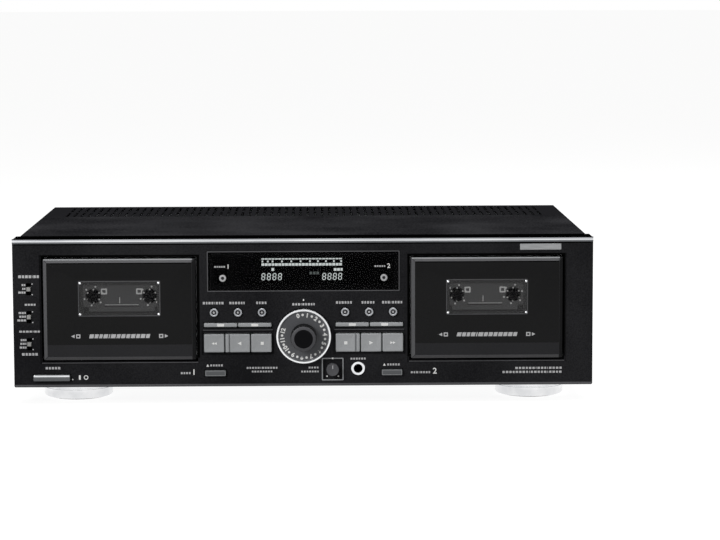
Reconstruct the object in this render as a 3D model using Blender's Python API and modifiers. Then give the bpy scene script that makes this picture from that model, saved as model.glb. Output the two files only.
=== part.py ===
"""Double cassette deck of hi-fi width, free-standing, in metres, +Z up, front towards -Y.

The origin is the middle of the deck's box, on the surface that it stands on. Depths are measured
backwards from the front panel's face, a reach is measured forwards from it, and levels are measured
up from the panel's lower edge.
"""

import math

import bmesh
import bpy
from mathutils import Matrix, Vector

# Gaps that every piece shares
seat_gap = 0.0003
slide_gap = 0.0005
overrun = 0.002

# Front panel and its trim
centre_width = 0.1516
side_column = 0.0179
panel_head = 0.0151
panel_depth = 0.023
panel_wall = 0.003
panel_side_wall = 0.0025
panel_end_wall = 0.0045
panel_edge = 0.0008
trim_height = 0.0032
trim_proud = 0.0006
trim_sink = 0.0012

# Case, tray and feet
case_depth = 0.280
case_inset = 0.0037
cover_sheet = 0.001
cover_lift = 0.001
tray_sheet = 0.0012
tray_flange = 0.020
tray_recess = 0.0013
foot_height = 0.0125
foot_radius = 0.0265
foot_edge = 0.0012
foot_draft = 0.0015
foot_end_inset = 0.0445
foot_front_depth = 0.042
foot_rear_inset = 0.045

# Fine vent slots in the rear part of the cover, from side to side
vent_count = 66
vent_rows = 2
vent_open_share = 0.37
vent_length = 0.036
vent_side_inset = 0.0158
vent_row_gap = 0.008
vent_rear_inset = 0.012

# Compact cassette, which the wells and holders are made round
cassette_width = 0.1004
cassette_height = 0.0638
cassette_thickness = 0.012
cassette_headroom = 0.0014
cassette_rise = 0.0109
hub_spacing = 0.0425
hub_below_top = 0.029

# Doors, their lenses and hinges
door_side = 0.0066
door_bottom = 0.0208
door_thickness = 0.009
door_proud = 0.003
door_bevel = 0.0026
door_gap = 0.0016
door_rim = 0.0033
door_band = 0.0117
lens_ledge = 0.0035
lens_thickness = 0.0021
lens_sink = 0.0006
window_width = 0.0613
window_height = 0.0263
window_sink = 0.0005
window_below_hubs = 0.0005
hinge_depth = 0.0032
hinge_rise = 0.0016
pin_radius = 0.0013
pin_grip = 0.0022
sleeve_wall = 0.0035
well_lip = 0.0014
well_lip_sink = 0.0008

# Cassette holder on the back of each door
holder_wall = 0.0012
holder_lip = 0.0035
holder_below_top = 0.0035
head_gate_width = 0.073
holder_window_width = 0.072
holder_window_height = 0.036

# Transport behind each well
plate_depth = 0.022
plate_sheet = 0.0015
spindle_reach_in = 0.002
spindle_root = 0.0030
spindle_tip = 0.0044
spindle_teeth = 6
spindle_cone = 0.003
collar_radius = 0.0055
collar_length = 0.002
spindle_shaft = 0.0024
reel_gear_radius = 0.013
reel_gear_width = 0.004
capstan_radius = 0.00125
capstan_front_depth = 0.010
carriage_gap = 0.0004
carriage_sheet = 0.0014
carriage_width = 0.080
carriage_height = 0.0085
carriage_travel = 0.0085
head_width = 0.014
head_front_depth = 0.009
head_edge = 0.001
roller_radius = 0.0055
roller_axle = 0.0015
roller_spacing = 0.060
roller_front_depth = 0.0095
roller_rear_depth = 0.019
motor_radius = 0.015
motor_length = 0.026
motor_level = 0.034

# Display
display_side_margin = 0.0033
display_height = 0.0311
display_below_top = 0.0095
display_lens_thickness = 0.0015
display_recess = 0.002
display_ledge = 0.0045
tube_end_margin = 0.0185
tube_height = 0.022

# Boards behind the panel and in the case
board_depth = 0.012
board_sheet = 0.0016
board_bottom = 0.0035
board_top_margin = 0.008
jack_notch_width = 0.018
jack_notch_height = 0.0185
main_board_left_inset = 0.1045
main_board_right_inset = 0.0125
main_board_front_inset = 0.057
main_board_rear_inset = 0.025
post_height = 0.006
post_radius = 0.003
post_inset = 0.008
core_width = 0.057
core_depth = 0.032
core_height = 0.048
coil_depth = 0.050
coil_height = 0.030
transformer_side_inset = 0.0525
transformer_rear_inset = 0.075

# Round buttons
button_radius = 0.00325
button_proud = 0.0016
button_edge = 0.0006
button_dish = 0.0005
button_dish_share = 0.6
button_rim_share = 0.7
button_level = 0.0561
button_dial_gap = 0.01045
button_end_inset = 0.0086
button_travel = 0.001
reset_radius = 0.0026
reset_inset = 0.0121
reset_below_top = 0.0206
reset_proud = 0.0010

# Keys
key_travel = 0.0015
key_edge = 0.0006
key_flange = 0.001
key_flange_inset = 0.0002
key_flange_thickness = 0.001
key_stem_share = 0.5
key_gap = 0.0008
key_recess_sink = 0.001
key_recess_end = 0.0018
key_recess_bottom = 0.0240
key_recess_top = 0.0424
slim_level = 0.04645
slim_height = 0.0035
key_row_dial_gap = 0.00335
key_row_margin = 0.0011
slim_proud = 0.0018
large_bottom = 0.0262
large_height = 0.0137
large_proud = 0.0026
left_key_shares = ((0.0, 0.300), (0.316, 0.682), (0.724, 1.0))
right_key_shares = ((0.0, 0.357), (0.373, 0.678), (0.694, 1.0))

# Push buttons along the panel's foot
eject_width = 0.0157
eject_margin = 0.0016
eject_level = 0.0103
eject_height = 0.0046
eject_proud = 0.0022
eject_travel = 0.0025
power_width = 0.0273
power_inset = 0.0147
power_level = 0.0074
power_height = 0.0046
power_proud = 0.003
power_travel = 0.0025

# Level dial with its inner knob
dial_level = 0.0382
dial_radius = 0.02075
dial_ring = 0.0028
dial_edge = 0.0006
dial_proud = 0.005
dial_dish = 0.0014
dial_sink = 0.001
dial_hub = 0.004
dial_bore = 0.0025
knob_radius = 0.00975
knob_face_radius = 0.0078
knob_chamfer = 0.0023
knob_reach = 0.0195
knob_shaft = 0.002

# Pitch knob and headphone jack
pitch_phone_gap = 0.0191
pitch_level = 0.0128
pitch_box_width = 0.0142
pitch_box_height = 0.0150
pitch_box_frame = 0.0012
pitch_box_proud = 0.0005
pitch_box_sink = 0.0015
pitch_radius = 0.0047
pitch_reach = 0.006
pitch_edge = 0.0006
pitch_shaft = 0.0015
phone_eject_gap = 0.0177
phone_level = 0.0133
phone_outer = 0.0050
phone_bore = 0.0034
phone_proud = 0.001
phone_body = 0.0065
phone_depth = 0.028
phone_end_wall = 0.002

# Slide switches
switch_inset = 0.0119
switch_levels = (0.0743, 0.0533, 0.0328)
switch_slot_width = 0.0036
switch_slot_height = 0.0092
switch_cap = 0.003
switch_proud = 0.0016
switch_slider_width = 0.0066
switch_slider_height = 0.0076
switch_slider_depth = 0.003

# Rear panel, mains inlet and line jacks
rear_sheet = 0.0015
inlet_side_inset = 0.0475
inlet_level = 0.035
inlet_width = 0.028
inlet_height = 0.019
inlet_flange = 0.003
inlet_flange_thickness = 0.002
inlet_body_depth = 0.016
socket_width = 0.0155
socket_height = 0.0085
socket_depth = 0.012
socket_pin_radius = 0.0012
socket_pin_spacing = 0.0086
socket_pin_short = 0.002
jack_side_inset = 0.0975
jack_level = 0.050
jack_pitch = 0.014
jack_radius = 0.0041
jack_bore = 0.0016
jack_bore_depth = 0.009
jack_reach = 0.009
jack_block_depth = 0.010
jack_block_margin = 0.010
jack_clearance = 0.0006

# Smoothness of turned shapes, in facets round the axis
fine_steps = 40
round_steps = 28
small_steps = 16

# Colours, roughness and metallic value of the finishes
moulded_black = ((0.022, 0.022, 0.024), 0.45, 0.0)
painted_black = ((0.030, 0.030, 0.032), 0.55, 0.0)
smoked_lens = ((0.012, 0.012, 0.014), 0.12, 0.0)
satin_silver = ((0.52, 0.52, 0.53), 0.35, 0.9)
key_silver = ((0.42, 0.42, 0.43), 0.40, 0.6)
bright_chrome = ((0.80, 0.80, 0.80), 0.15, 1.0)
zinc_steel = ((0.45, 0.45, 0.46), 0.42, 0.9)
dark_plastic = ((0.016, 0.016, 0.017), 0.50, 0.0)
white_plastic = ((0.70, 0.70, 0.68), 0.45, 0.0)
board_green = ((0.05, 0.16, 0.07), 0.50, 0.0)
glass_tube = ((0.05, 0.08, 0.08), 0.08, 0.0)
coil_tape = ((0.55, 0.42, 0.12), 0.60, 0.0)

# Places worked out from the sizes
door_height = cassette_rise + cassette_height + cassette_headroom
door_width = cassette_width + 2 * door_side
panel_height = door_bottom + door_height + panel_head
half_door = door_width / 2
half_well = half_door + door_gap
half_sleeve = half_well + sleeve_wall
half_centre = centre_width / 2
door_centre = half_centre + half_sleeve
panel_width = 2 * (door_centre + half_sleeve + side_column)
front_y = (knob_reach - case_depth - jack_reach) / 2
half_panel = panel_width / 2
half_case = half_panel - case_inset
half_tray = half_case - cover_sheet - seat_gap
vent_pitch = 2 * (half_case - vent_side_inset) / vent_count
case_front_depth = panel_depth + seat_gap
tray_rear_depth = case_depth - tray_recess
door_top = door_bottom + door_height
door_back = door_thickness - door_proud
well_bottom = door_bottom - door_gap
well_top = door_top + door_gap
sleeve_bottom = well_bottom - sleeve_wall
sleeve_top = well_top + sleeve_wall
sleeve_back = plate_depth - seat_gap
hinge_level = door_bottom + hinge_rise
lens_bottom = door_bottom + door_band
lens_top = door_top - door_rim
half_lens_seat = half_door - door_rim
lens_seat_depth = lens_sink + lens_thickness + seat_gap - door_proud
cassette_bottom = door_bottom + cassette_rise
hub_level = cassette_bottom + cassette_height - hub_below_top
half_pocket = cassette_width / 2 + seat_gap
holder_front = door_back + seat_gap
pocket_front = holder_front + holder_wall
pocket_back = pocket_front + cassette_thickness + 2 * seat_gap
holder_back = pocket_back + holder_wall
pocket_bottom = cassette_bottom - seat_gap
holder_bottom = pocket_bottom - holder_wall
holder_top = cassette_bottom + cassette_height - holder_below_top
half_holder = half_pocket + holder_wall
carriage_back = plate_depth - carriage_gap
carriage_front = carriage_back - carriage_sheet
carriage_bottom = well_bottom + slide_gap
carriage_rest_top = holder_bottom
roller_level = carriage_rest_top - roller_radius
capstan_level = carriage_rest_top + carriage_travel + capstan_radius + slide_gap
wall_back = panel_wall + seat_gap
part_back = board_depth - slide_gap
key_back = part_back - key_travel
half_board = half_centre - slide_gap
display_width = centre_width - 2 * display_side_margin
display_top = panel_height - display_below_top
display_bottom = display_top - display_height
tube_width = display_width - 2 * tube_end_margin
reset_x = display_width / 2 - reset_inset
reset_level = display_top - reset_below_top
key_row_near = dial_radius + key_row_dial_gap
key_row_far = half_centre - key_row_margin
eject_far = half_centre - eject_margin
eject_near = eject_far - eject_width
phone_x = eject_near - phone_eject_gap
pitch_x = phone_x - pitch_phone_gap
power_left = half_panel - power_inset
power_right = power_left - power_width
switch_x = half_panel - switch_inset
foot_x = half_panel - foot_end_inset
main_board_left = half_tray - main_board_left_inset
main_board_right = half_tray - main_board_right_inset
main_board_front_depth = case_front_depth + main_board_front_inset
main_board_rear_depth = case_depth - main_board_rear_inset
transformer_x = half_tray - transformer_side_inset
transformer_depth = case_depth - transformer_rear_inset
inlet_x = half_tray - inlet_side_inset
jack_x = half_tray - jack_side_inset
rear_panel_depth = tray_rear_depth - rear_sheet
sides = (("left", -1), ("right", 1))

for leftover in list(bpy.context.scene.objects):
    bpy.data.objects.remove(leftover, do_unlink=True)

deck = bpy.data.collections.new("cassette_deck")
cutters = bpy.data.collections.new("cutters")
for group in (deck, cutters):
    bpy.context.scene.collection.children.link(group)


def place(x, depth, level):
    """World position of a point given by X, depth behind the panel's face and level."""
    return Vector((x, front_y + depth, foot_height + level))


def paint(item, colour, roughness, metallic):
    """Give the object a material of its own."""
    surface = bpy.data.materials.new(item.name)
    surface.use_nodes = True
    shader = surface.node_tree.nodes["Principled BSDF"]
    shader.inputs["Base Color"].default_value = (*colour, 1)
    shader.inputs["Roughness"].default_value = roughness
    shader.inputs["Metallic"].default_value = metallic
    item.data.materials.append(surface)


def add_object(name, mesh, finish):
    """Put a mesh in the deck, or among the cutters when it has no finish."""
    item = bpy.data.objects.new(name, mesh)
    if finish is None:
        cutters.objects.link(item)
        item.hide_render = True
        item.display_type = "WIRE"
    else:
        deck.objects.link(item)
        paint(item, *finish)
    return item


def mesh_of(name, shape):
    """Turn a bmesh into a mesh and free it."""
    mesh = bpy.data.meshes.new(name)
    shape.to_mesh(mesh)
    shape.free()
    return mesh


def blocks(name, boxes, finish=None):
    """Boxes, each between a pair of X, a pair of depths and a pair of levels."""
    shape = bmesh.new()
    for across, depths, levels in boxes:
        low = place(across[0], depths[0], levels[0])
        high = place(across[1], depths[1], levels[1])
        corners = bmesh.ops.create_cube(shape, size=1.0)["verts"]
        bmesh.ops.scale(shape, vec=high - low, verts=corners)
        bmesh.ops.translate(shape, vec=(low + high) / 2, verts=corners)
    return add_object(name, mesh_of(name, shape), finish)


def rods(name, circles, depths, finish=None, steps=small_steps):
    """Cylinders of (X, level, radius) that run through a pair of depths."""
    shape = bmesh.new()
    for x, level, radius in circles:
        turned_over = Matrix.Rotation(math.pi / 2, 4, "X")
        middle = Matrix.Translation(place(x, sum(depths) / 2, level))
        bmesh.ops.create_cone(
            shape,
            cap_ends=True,
            segments=steps,
            radius1=radius,
            radius2=radius,
            depth=depths[1] - depths[0],
            matrix=middle @ turned_over,
        )
    return add_object(name, mesh_of(name, shape), finish)


def cross_rods(name, ends, depth, level, radius, finish=None):
    """Cylinders along X, each between a pair of X, at one depth and level."""
    shape = bmesh.new()
    for start, end in ends:
        turned_over = Matrix.Rotation(math.pi / 2, 4, "Y")
        middle = Matrix.Translation(place((start + end) / 2, depth, level))
        bmesh.ops.create_cone(
            shape,
            cap_ends=True,
            segments=small_steps,
            radius1=radius,
            radius2=radius,
            depth=end - start,
            matrix=middle @ turned_over,
        )
    return add_object(name, mesh_of(name, shape), finish)


def turned(name, profile, centre, steps, finish=None, upright=False, ring=False):
    """Profile of (radius, reach) turned about a line out of the panel, or about +Z."""
    count = len(profile)
    edges = [(point, point + 1) for point in range(count - 1)]
    if ring:
        edges.append((count - 1, 0))
    mesh = bpy.data.meshes.new(name)
    mesh.from_pydata([(radius, 0, reach) for radius, reach in profile], edges, [])
    item = add_object(name, mesh, finish)
    item.location = centre
    if not upright:
        item.rotation_euler.x = math.pi / 2
    screw = item.modifiers.new("turn", "SCREW")
    screw.steps = steps
    screw.render_steps = steps
    screw.use_merge_vertices = True
    screw.merge_threshold = seat_gap / 100
    return item


def carried(name, outline, sections, centre, finish=None):
    """Unit outline carried back through sections of (reach, width, height)."""
    shape = bmesh.new()
    reach, width, height = sections[0]
    corners = [shape.verts.new((x * width, y * height, reach)) for x, y in outline]
    face = shape.faces.new(corners)
    last = sections[0]
    for section in sections[1:]:
        inner = face if last is not sections[0] else None
        grown = bmesh.ops.extrude_face_region(shape, geom=[face])["geom"]
        face = next(part for part in grown if isinstance(part, bmesh.types.BMFace))
        if inner:
            bmesh.ops.delete(shape, geom=[inner], context="FACES_ONLY")
        for corner in face.verts:
            corner.co.x *= section[1] / last[1]
            corner.co.y *= section[2] / last[2]
            corner.co.z = section[0]
        last = section
    bmesh.ops.recalc_face_normals(shape, faces=shape.faces)
    item = add_object(name, mesh_of(name, shape), finish)
    item.location = centre
    item.rotation_euler.x = math.pi / 2
    return item


def folded_sheet(name, across, depths, levels, open_sides, sheet, finish):
    """Sheet folded round a box, with the named sides left open."""
    item = blocks(name, [(across, depths, levels)], finish)
    shape = bmesh.new()
    shape.from_mesh(item.data)
    gone = [face for face in shape.faces if any(face.normal.dot(Vector(way)) > 0 for way in open_sides)]
    bmesh.ops.delete(shape, geom=gone, context="FACES")
    shape.to_mesh(item.data)
    shape.free()
    wall = item.modifiers.new("wall", "SOLIDIFY")
    wall.thickness = sheet
    wall.use_even_offset = True
    return item


def combine(item, operation, tools):
    """Cut the tools out of an object, or join them to it."""
    for tool in tools:
        step = item.modifiers.new(operation.lower(), "BOOLEAN")
        step.operation = operation
        step.object = tool


def cut(item, *tools):
    """Cut the tools out of an object."""
    combine(item, "DIFFERENCE", tools)


def join(item, *tools):
    """Join the tools to an object."""
    combine(item, "UNION", tools)


def bevel(item, width, angle=math.pi / 6):
    """Chamfer the sharp edges of an object."""
    edge = item.modifiers.new("edge", "BEVEL")
    edge.width = width
    edge.segments = 1
    edge.limit_method = "ANGLE"
    edge.angle_limit = angle


def set_origin(item, point):
    """Move an unturned object's origin to a point and leave its shape where it is."""
    item.data.transform(Matrix.Translation(-point))
    item.location = point


def pair(middle, half):
    """The two ends of a span about its middle."""
    return (middle - half, middle + half)


def square():
    """Unit square outline."""
    return [(-0.5, -0.5), (0.5, -0.5), (0.5, 0.5), (-0.5, 0.5)]


def key_spans(side, shares):
    """Ends in X of each large key of a side, from left to right."""
    start = -key_row_far if side < 0 else key_row_near
    length = key_row_far - key_row_near
    return [(start + low * length, start + high * length) for low, high in shares]


def slim_spans(side):
    """Ends in X of the two slim keys of a side."""
    half_way = (key_row_near + key_row_far) / 2
    inner = (key_row_near, half_way - key_gap / 2)
    outer = (half_way + key_gap / 2, key_row_far)
    return [tuple(sorted((side * near, side * far))) for near, far in (inner, outer)]


def large_spans():
    """Ends in X of the six large keys, left to right."""
    return key_spans(-1, left_key_shares) + key_spans(1, right_key_shares)


def round_buttons():
    """X of the six function buttons, left to right."""
    near = dial_radius + button_dial_gap
    far = half_centre - button_end_inset
    places = [near, (near + far) / 2, far]
    return [-x for x in reversed(places)] + places


def grown(span, clearance):
    """A span with a clearance added at both ends."""
    return (span[0] - clearance, span[1] + clearance)


def make_front_panel():
    """Moulded frame with deep wells for the doors and openings for everything in front."""
    panel = blocks(
        "front_panel", [(pair(0, half_panel), (0, panel_depth), (0, panel_height))], moulded_black
    )
    bevel(panel, panel_edge)
    hollow = blocks(
        "panel_hollow",
        [(
            pair(0, half_panel - panel_end_wall),
            (panel_wall, panel_depth + overrun),
            (panel_side_wall, panel_height - trim_height - panel_side_wall),
        )],
    )
    cut(panel, hollow)
    for side, sign in sides:
        sleeve = blocks(
            "sleeve_" + side,
            [(
                pair(sign * door_centre, half_sleeve),
                (panel_wall / 2, sleeve_back),
                (sleeve_bottom, sleeve_top),
            )],
        )
        join(panel, sleeve)
    cut(panel, panel_slots(), panel_recesses(), panel_bores(), hinge_bores(), dial_recess())
    join(panel, pitch_frame())


def panel_slots():
    """Through openings of the wells, keys, push buttons, slide switches and display."""
    through = (-overrun, panel_depth + overrun)
    boxes = []
    for _, sign in sides:
        boxes.append((pair(sign * door_centre, half_well), through, (well_bottom, well_top)))
        ends = tuple(sorted((sign * key_row_near, sign * key_row_far)))
        slim = pair(slim_level, slim_height / 2 + slide_gap)
        boxes.append((grown(ends, slide_gap), through, slim))
        large = (large_bottom - slide_gap, large_bottom + large_height + slide_gap)
        boxes.append((grown(ends, slide_gap), through, large))
        ends = tuple(sorted((sign * eject_near, sign * eject_far)))
        eject = pair(eject_level, eject_height / 2 + slide_gap)
        boxes.append((grown(ends, slide_gap), through, eject))
    power = pair(power_level, power_height / 2 + slide_gap)
    boxes.append((grown((-power_left, -power_right), slide_gap), (-overrun, panel_wall + overrun), power))
    for level in switch_levels:
        slot = pair(level, switch_slot_height / 2)
        boxes.append((pair(-switch_x, switch_slot_width / 2), (-overrun, panel_wall + overrun), slot))
    boxes.append((
        pair(0, display_width / 2 - display_ledge),
        through,
        (display_bottom + display_ledge, display_top - display_ledge),
    ))
    return blocks("panel_slots", boxes)


def panel_recesses():
    """Shallow steps in the face: round the wells, under the keys, for the display and the trim."""
    boxes = [(
        pair(0, display_width / 2),
        (-overrun, display_recess),
        (display_bottom, display_top),
    )]
    for _, sign in sides:
        boxes.append((
            pair(sign * door_centre, half_well + well_lip),
            (-overrun, well_lip_sink),
            (well_bottom - well_lip, well_top + well_lip),
        ))
        ends = tuple(sorted((sign * key_row_near, sign * key_row_far)))
        boxes.append((grown(ends, key_recess_end), (-overrun, key_recess_sink), (key_recess_bottom, key_recess_top)))
    boxes.append((
        pair(pitch_x, pitch_box_width / 2),
        (-overrun, pitch_box_sink),
        pair(pitch_level, pitch_box_height / 2),
    ))
    boxes.append((
        pair(0, half_panel + overrun),
        (-overrun, trim_sink),
        (panel_height - trim_height, panel_height + overrun),
    ))
    return blocks("panel_recesses", boxes)


def panel_bores():
    """Round holes for the function buttons, the dial, the pitch knob and the headphone jack."""
    circles = [(x, button_level, button_radius + slide_gap) for x in round_buttons()]
    circles.append((0, dial_level, dial_hub + slide_gap))
    circles.append((pitch_x, pitch_level, pitch_shaft + slide_gap))
    circles.append((phone_x, phone_level, phone_outer + seat_gap))
    return rods("panel_bores", circles, (-overrun, panel_wall + overrun))


def hinge_bores():
    """Blind holes in the wells' side walls for the doors' hinge pins."""
    ends = []
    reach = half_well + pin_grip + slide_gap
    for _, sign in sides:
        for way in (-1, 1):
            outer = sign * door_centre + way * reach
            inner = sign * door_centre + way * (half_well - overrun)
            ends.append(tuple(sorted((inner, outer))))
    return cross_rods("hinge_bores", ends, hinge_depth, hinge_level, pin_radius + seat_gap)


def dial_recess():
    """Round recess that the dial turns in."""
    circle = (0, dial_level, dial_radius + slide_gap)
    return rods("dial_recess", [circle], (-overrun, dial_sink), steps=fine_steps)


def pitch_frame():
    """Square frame that stands up round the pitch knob's recess."""
    depths = (-pitch_box_proud, panel_wall / 2)
    outer = blocks(
        "pitch_frame",
        [(
            pair(pitch_x, pitch_box_width / 2 + pitch_box_frame),
            depths,
            pair(pitch_level, pitch_box_height / 2 + pitch_box_frame),
        )],
    )
    inner = blocks(
        "pitch_frame_hole",
        [(
            pair(pitch_x, pitch_box_width / 2),
            (-overrun, panel_wall + overrun),
            pair(pitch_level, pitch_box_height / 2),
        )],
    )
    cut(outer, inner)
    return outer


def make_trim():
    """Metal strip along the panel's top edge."""
    trim = blocks(
        "top_trim",
        [(
            pair(0, half_panel),
            (-trim_proud, trim_sink - seat_gap),
            (panel_height - trim_height + seat_gap, panel_height),
        )],
        satin_silver,
    )
    bevel(trim, trim_proud / 2)


def make_display():
    """Display lens in its recess and the glass display tube behind it."""
    lens = blocks(
        "display_lens",
        [(
            pair(0, display_width / 2 - seat_gap),
            (display_recess - seat_gap - display_lens_thickness, display_recess - seat_gap),
            (display_bottom + seat_gap, display_top - seat_gap),
        )],
        smoked_lens,
    )
    circles = [(sign * reset_x, reset_level, reset_radius + seat_gap) for _, sign in sides]
    cut(lens, rods("reset_bores", circles, (-overrun, display_recess + overrun)))
    middle = (display_bottom + display_top) / 2
    tube = blocks(
        "display_tube",
        [(pair(0, tube_width / 2), (wall_back, board_depth - seat_gap), pair(middle, tube_height / 2))],
        glass_tube,
    )
    bevel(tube, panel_edge)


def make_boards():
    """Key board behind the controls and main board on the tray's posts."""
    board = blocks(
        "key_board",
        [(
            pair(0, half_board),
            (board_depth, board_depth + board_sheet),
            (board_bottom, panel_height - board_top_margin),
        )],
        board_green,
    )
    notch = blocks(
        "jack_notch",
        [(
            pair(phone_x, jack_notch_width / 2),
            (board_depth - overrun, board_depth + board_sheet + overrun),
            (board_bottom - overrun, board_bottom + jack_notch_height),
        )],
    )
    cut(board, notch)
    level = tray_sheet + post_height + seat_gap
    blocks(
        "main_board",
        [(
            (-main_board_left, main_board_right),
            (main_board_front_depth, main_board_rear_depth),
            (level, level + board_sheet),
        )],
        board_green,
    )


def make_tray():
    """Folded steel tray with the main board's posts."""
    tray = folded_sheet(
        "chassis_tray",
        pair(0, half_tray),
        (case_front_depth, tray_rear_depth),
        (0, tray_flange),
        ((0, 0, 1), (0, 1, 0), (0, -1, 0)),
        tray_sheet,
        zinc_steel,
    )
    shape = bmesh.new()
    for x in (post_inset - main_board_left, main_board_right - post_inset):
        for depth in (main_board_front_depth + post_inset, main_board_rear_depth - post_inset):
            level = (tray_sheet / 2 + tray_sheet + post_height) / 2
            bmesh.ops.create_cone(
                shape,
                cap_ends=True,
                segments=small_steps,
                radius1=post_radius,
                radius2=post_radius,
                depth=tray_sheet / 2 + post_height,
                matrix=Matrix.Translation(place(x, depth, level)),
            )
    join(tray, add_object("tray_posts", mesh_of("tray_posts", shape), None))


def make_cover():
    """Folded top cover with rows of vent slots at the rear."""
    cover = folded_sheet(
        "top_cover",
        pair(0, half_case),
        (case_front_depth, case_depth),
        (cover_lift, panel_height),
        ((0, 0, -1), (0, 1, 0), (0, -1, 0)),
        cover_sheet,
        painted_black,
    )
    slots = []
    for row in range(vent_rows):
        rear = case_depth - vent_rear_inset - row * (vent_length + vent_row_gap)
        for number in range(vent_count):
            x = (number - (vent_count - 1) / 2) * vent_pitch
            slots.append((
                pair(x, vent_pitch * vent_open_share / 2),
                (rear - vent_length, rear),
                (panel_height - cover_sheet - overrun, panel_height + overrun),
            ))
    cut(cover, blocks("vent_slots", slots))


def make_feet():
    """Four turned feet."""
    top = foot_height - seat_gap
    profile = [
        (0, top),
        (foot_radius, top),
        (foot_radius - foot_draft, foot_edge),
        (foot_radius - foot_draft - foot_edge, 0),
        (0, 0),
    ]
    rows = (("front", foot_front_depth), ("rear", case_depth - foot_rear_inset))
    for row, depth in rows:
        for side, sign in sides:
            centre = place(sign * foot_x, depth, -foot_height)
            turned("foot_" + row + "_" + side, profile, centre, round_steps, bright_chrome, upright=True)


def make_door(side, centre):
    """Door frame with a chamfered front, a seat for the lens and two hinge pins."""
    frame = carried(
        "door_" + side,
        square(),
        [
            (door_proud, door_width - 2 * door_bevel, door_height - 2 * door_bevel),
            (door_proud - door_bevel, door_width, door_height),
            (-door_back, door_width, door_height),
        ],
        place(centre, 0, (door_bottom + door_top) / 2),
        moulded_black,
    )
    frame.data.transform(Matrix.Rotation(math.pi / 2, 4, "X"))
    frame.rotation_euler.x = 0
    frame.data.transform(Matrix.Translation(frame.location))
    frame.location = (0, 0, 0)
    set_origin(frame, place(centre, hinge_depth, hinge_level))
    seat = blocks(
        "lens_seat_" + side,
        [(
            pair(centre, half_lens_seat),
            (-door_proud - overrun, lens_seat_depth),
            (lens_bottom, lens_top),
        )],
    )
    opening = blocks(
        "door_opening_" + side,
        [(
            pair(centre, half_lens_seat - lens_ledge),
            (-door_proud - overrun, door_back + overrun),
            (lens_bottom + lens_ledge, lens_top - lens_ledge),
        )],
    )
    reach = half_well + pin_grip
    pins = cross_rods(
        "hinge_pins_" + side,
        [
            (centre - reach, centre - half_door + overrun),
            (centre + half_door - overrun, centre + reach),
        ],
        hinge_depth,
        hinge_level,
        pin_radius,
    )
    cut(frame, seat, opening)
    join(frame, pins)


def make_door_lens(side, centre):
    """Smoked plate in the door, with a shallow recess where its window is."""
    lens = blocks(
        "door_lens_" + side,
        [(
            pair(centre, half_lens_seat - seat_gap),
            (lens_sink - door_proud, lens_seat_depth - seat_gap),
            (lens_bottom + seat_gap, lens_top - seat_gap),
        )],
        smoked_lens,
    )
    window = blocks(
        "window_" + side,
        [(
            pair(centre, window_width / 2),
            (-door_proud - overrun, lens_sink + window_sink - door_proud),
            pair(hub_level - window_below_hubs, window_height / 2),
        )],
    )
    cut(lens, window)
    set_origin(lens, place(centre, hinge_depth, hinge_level))


def make_holder(side, centre):
    """Carrier for one cassette, open above, at the back and under the heads."""
    holder = blocks(
        "cassette_holder_" + side,
        [(pair(centre, half_holder), (holder_front, holder_back), (holder_bottom, holder_top))],
        dark_plastic,
    )
    pocket = blocks(
        "pocket_" + side,
        [(pair(centre, half_pocket), (pocket_front, pocket_back), (pocket_bottom, holder_top + overrun))],
    )
    back = blocks(
        "holder_back_" + side,
        [(
            pair(centre, half_pocket - holder_lip),
            (pocket_back - overrun, holder_back + overrun),
            (holder_bottom - overrun, holder_top + overrun),
        )],
    )
    gate = blocks(
        "head_gate_" + side,
        [(
            pair(centre, head_gate_width / 2),
            (pocket_front, holder_back + overrun),
            (holder_bottom - overrun, pocket_bottom + overrun),
        )],
    )
    view = blocks(
        "holder_window_" + side,
        [(
            pair(centre, holder_window_width / 2),
            (holder_front - overrun, pocket_front + overrun),
            pair(hub_level, holder_window_height / 2),
        )],
    )
    cut(holder, pocket, back, gate, view)
    set_origin(holder, place(centre, hinge_depth, hinge_level))


def make_transport_plate(side, centre):
    """Steel plate behind the well, with shaft holes and the two capstans."""
    plate = blocks(
        "transport_plate_" + side,
        [(pair(centre, half_sleeve), (plate_depth, plate_depth + plate_sheet), (sleeve_bottom, sleeve_top))],
        zinc_steel,
    )
    holes = [(centre + way * hub_spacing / 2, hub_level, spindle_shaft + slide_gap) for way in (-1, 1)]
    cut(plate, rods("shaft_holes_" + side, holes, (plate_depth - overrun, plate_depth + plate_sheet + overrun)))
    posts = [(centre + way * roller_spacing / 2, capstan_level, capstan_radius) for way in (-1, 1)]
    join(plate, rods("capstans_" + side, posts, (capstan_front_depth, plate_depth + plate_sheet / 2)))


def spindle_outline():
    """Outline of a toothed spindle, with flat-topped teeth, of unit outer radius."""
    root_share = spindle_root / spindle_tip
    outline = []
    for tooth in range(spindle_teeth):
        for quarter, radius in enumerate((root_share, 1, 1, root_share)):
            angle = 2 * math.pi * (tooth + (quarter + 1) / 5) / spindle_teeth
            outline.append((radius * math.cos(angle), radius * math.sin(angle)))
    return outline


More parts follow.
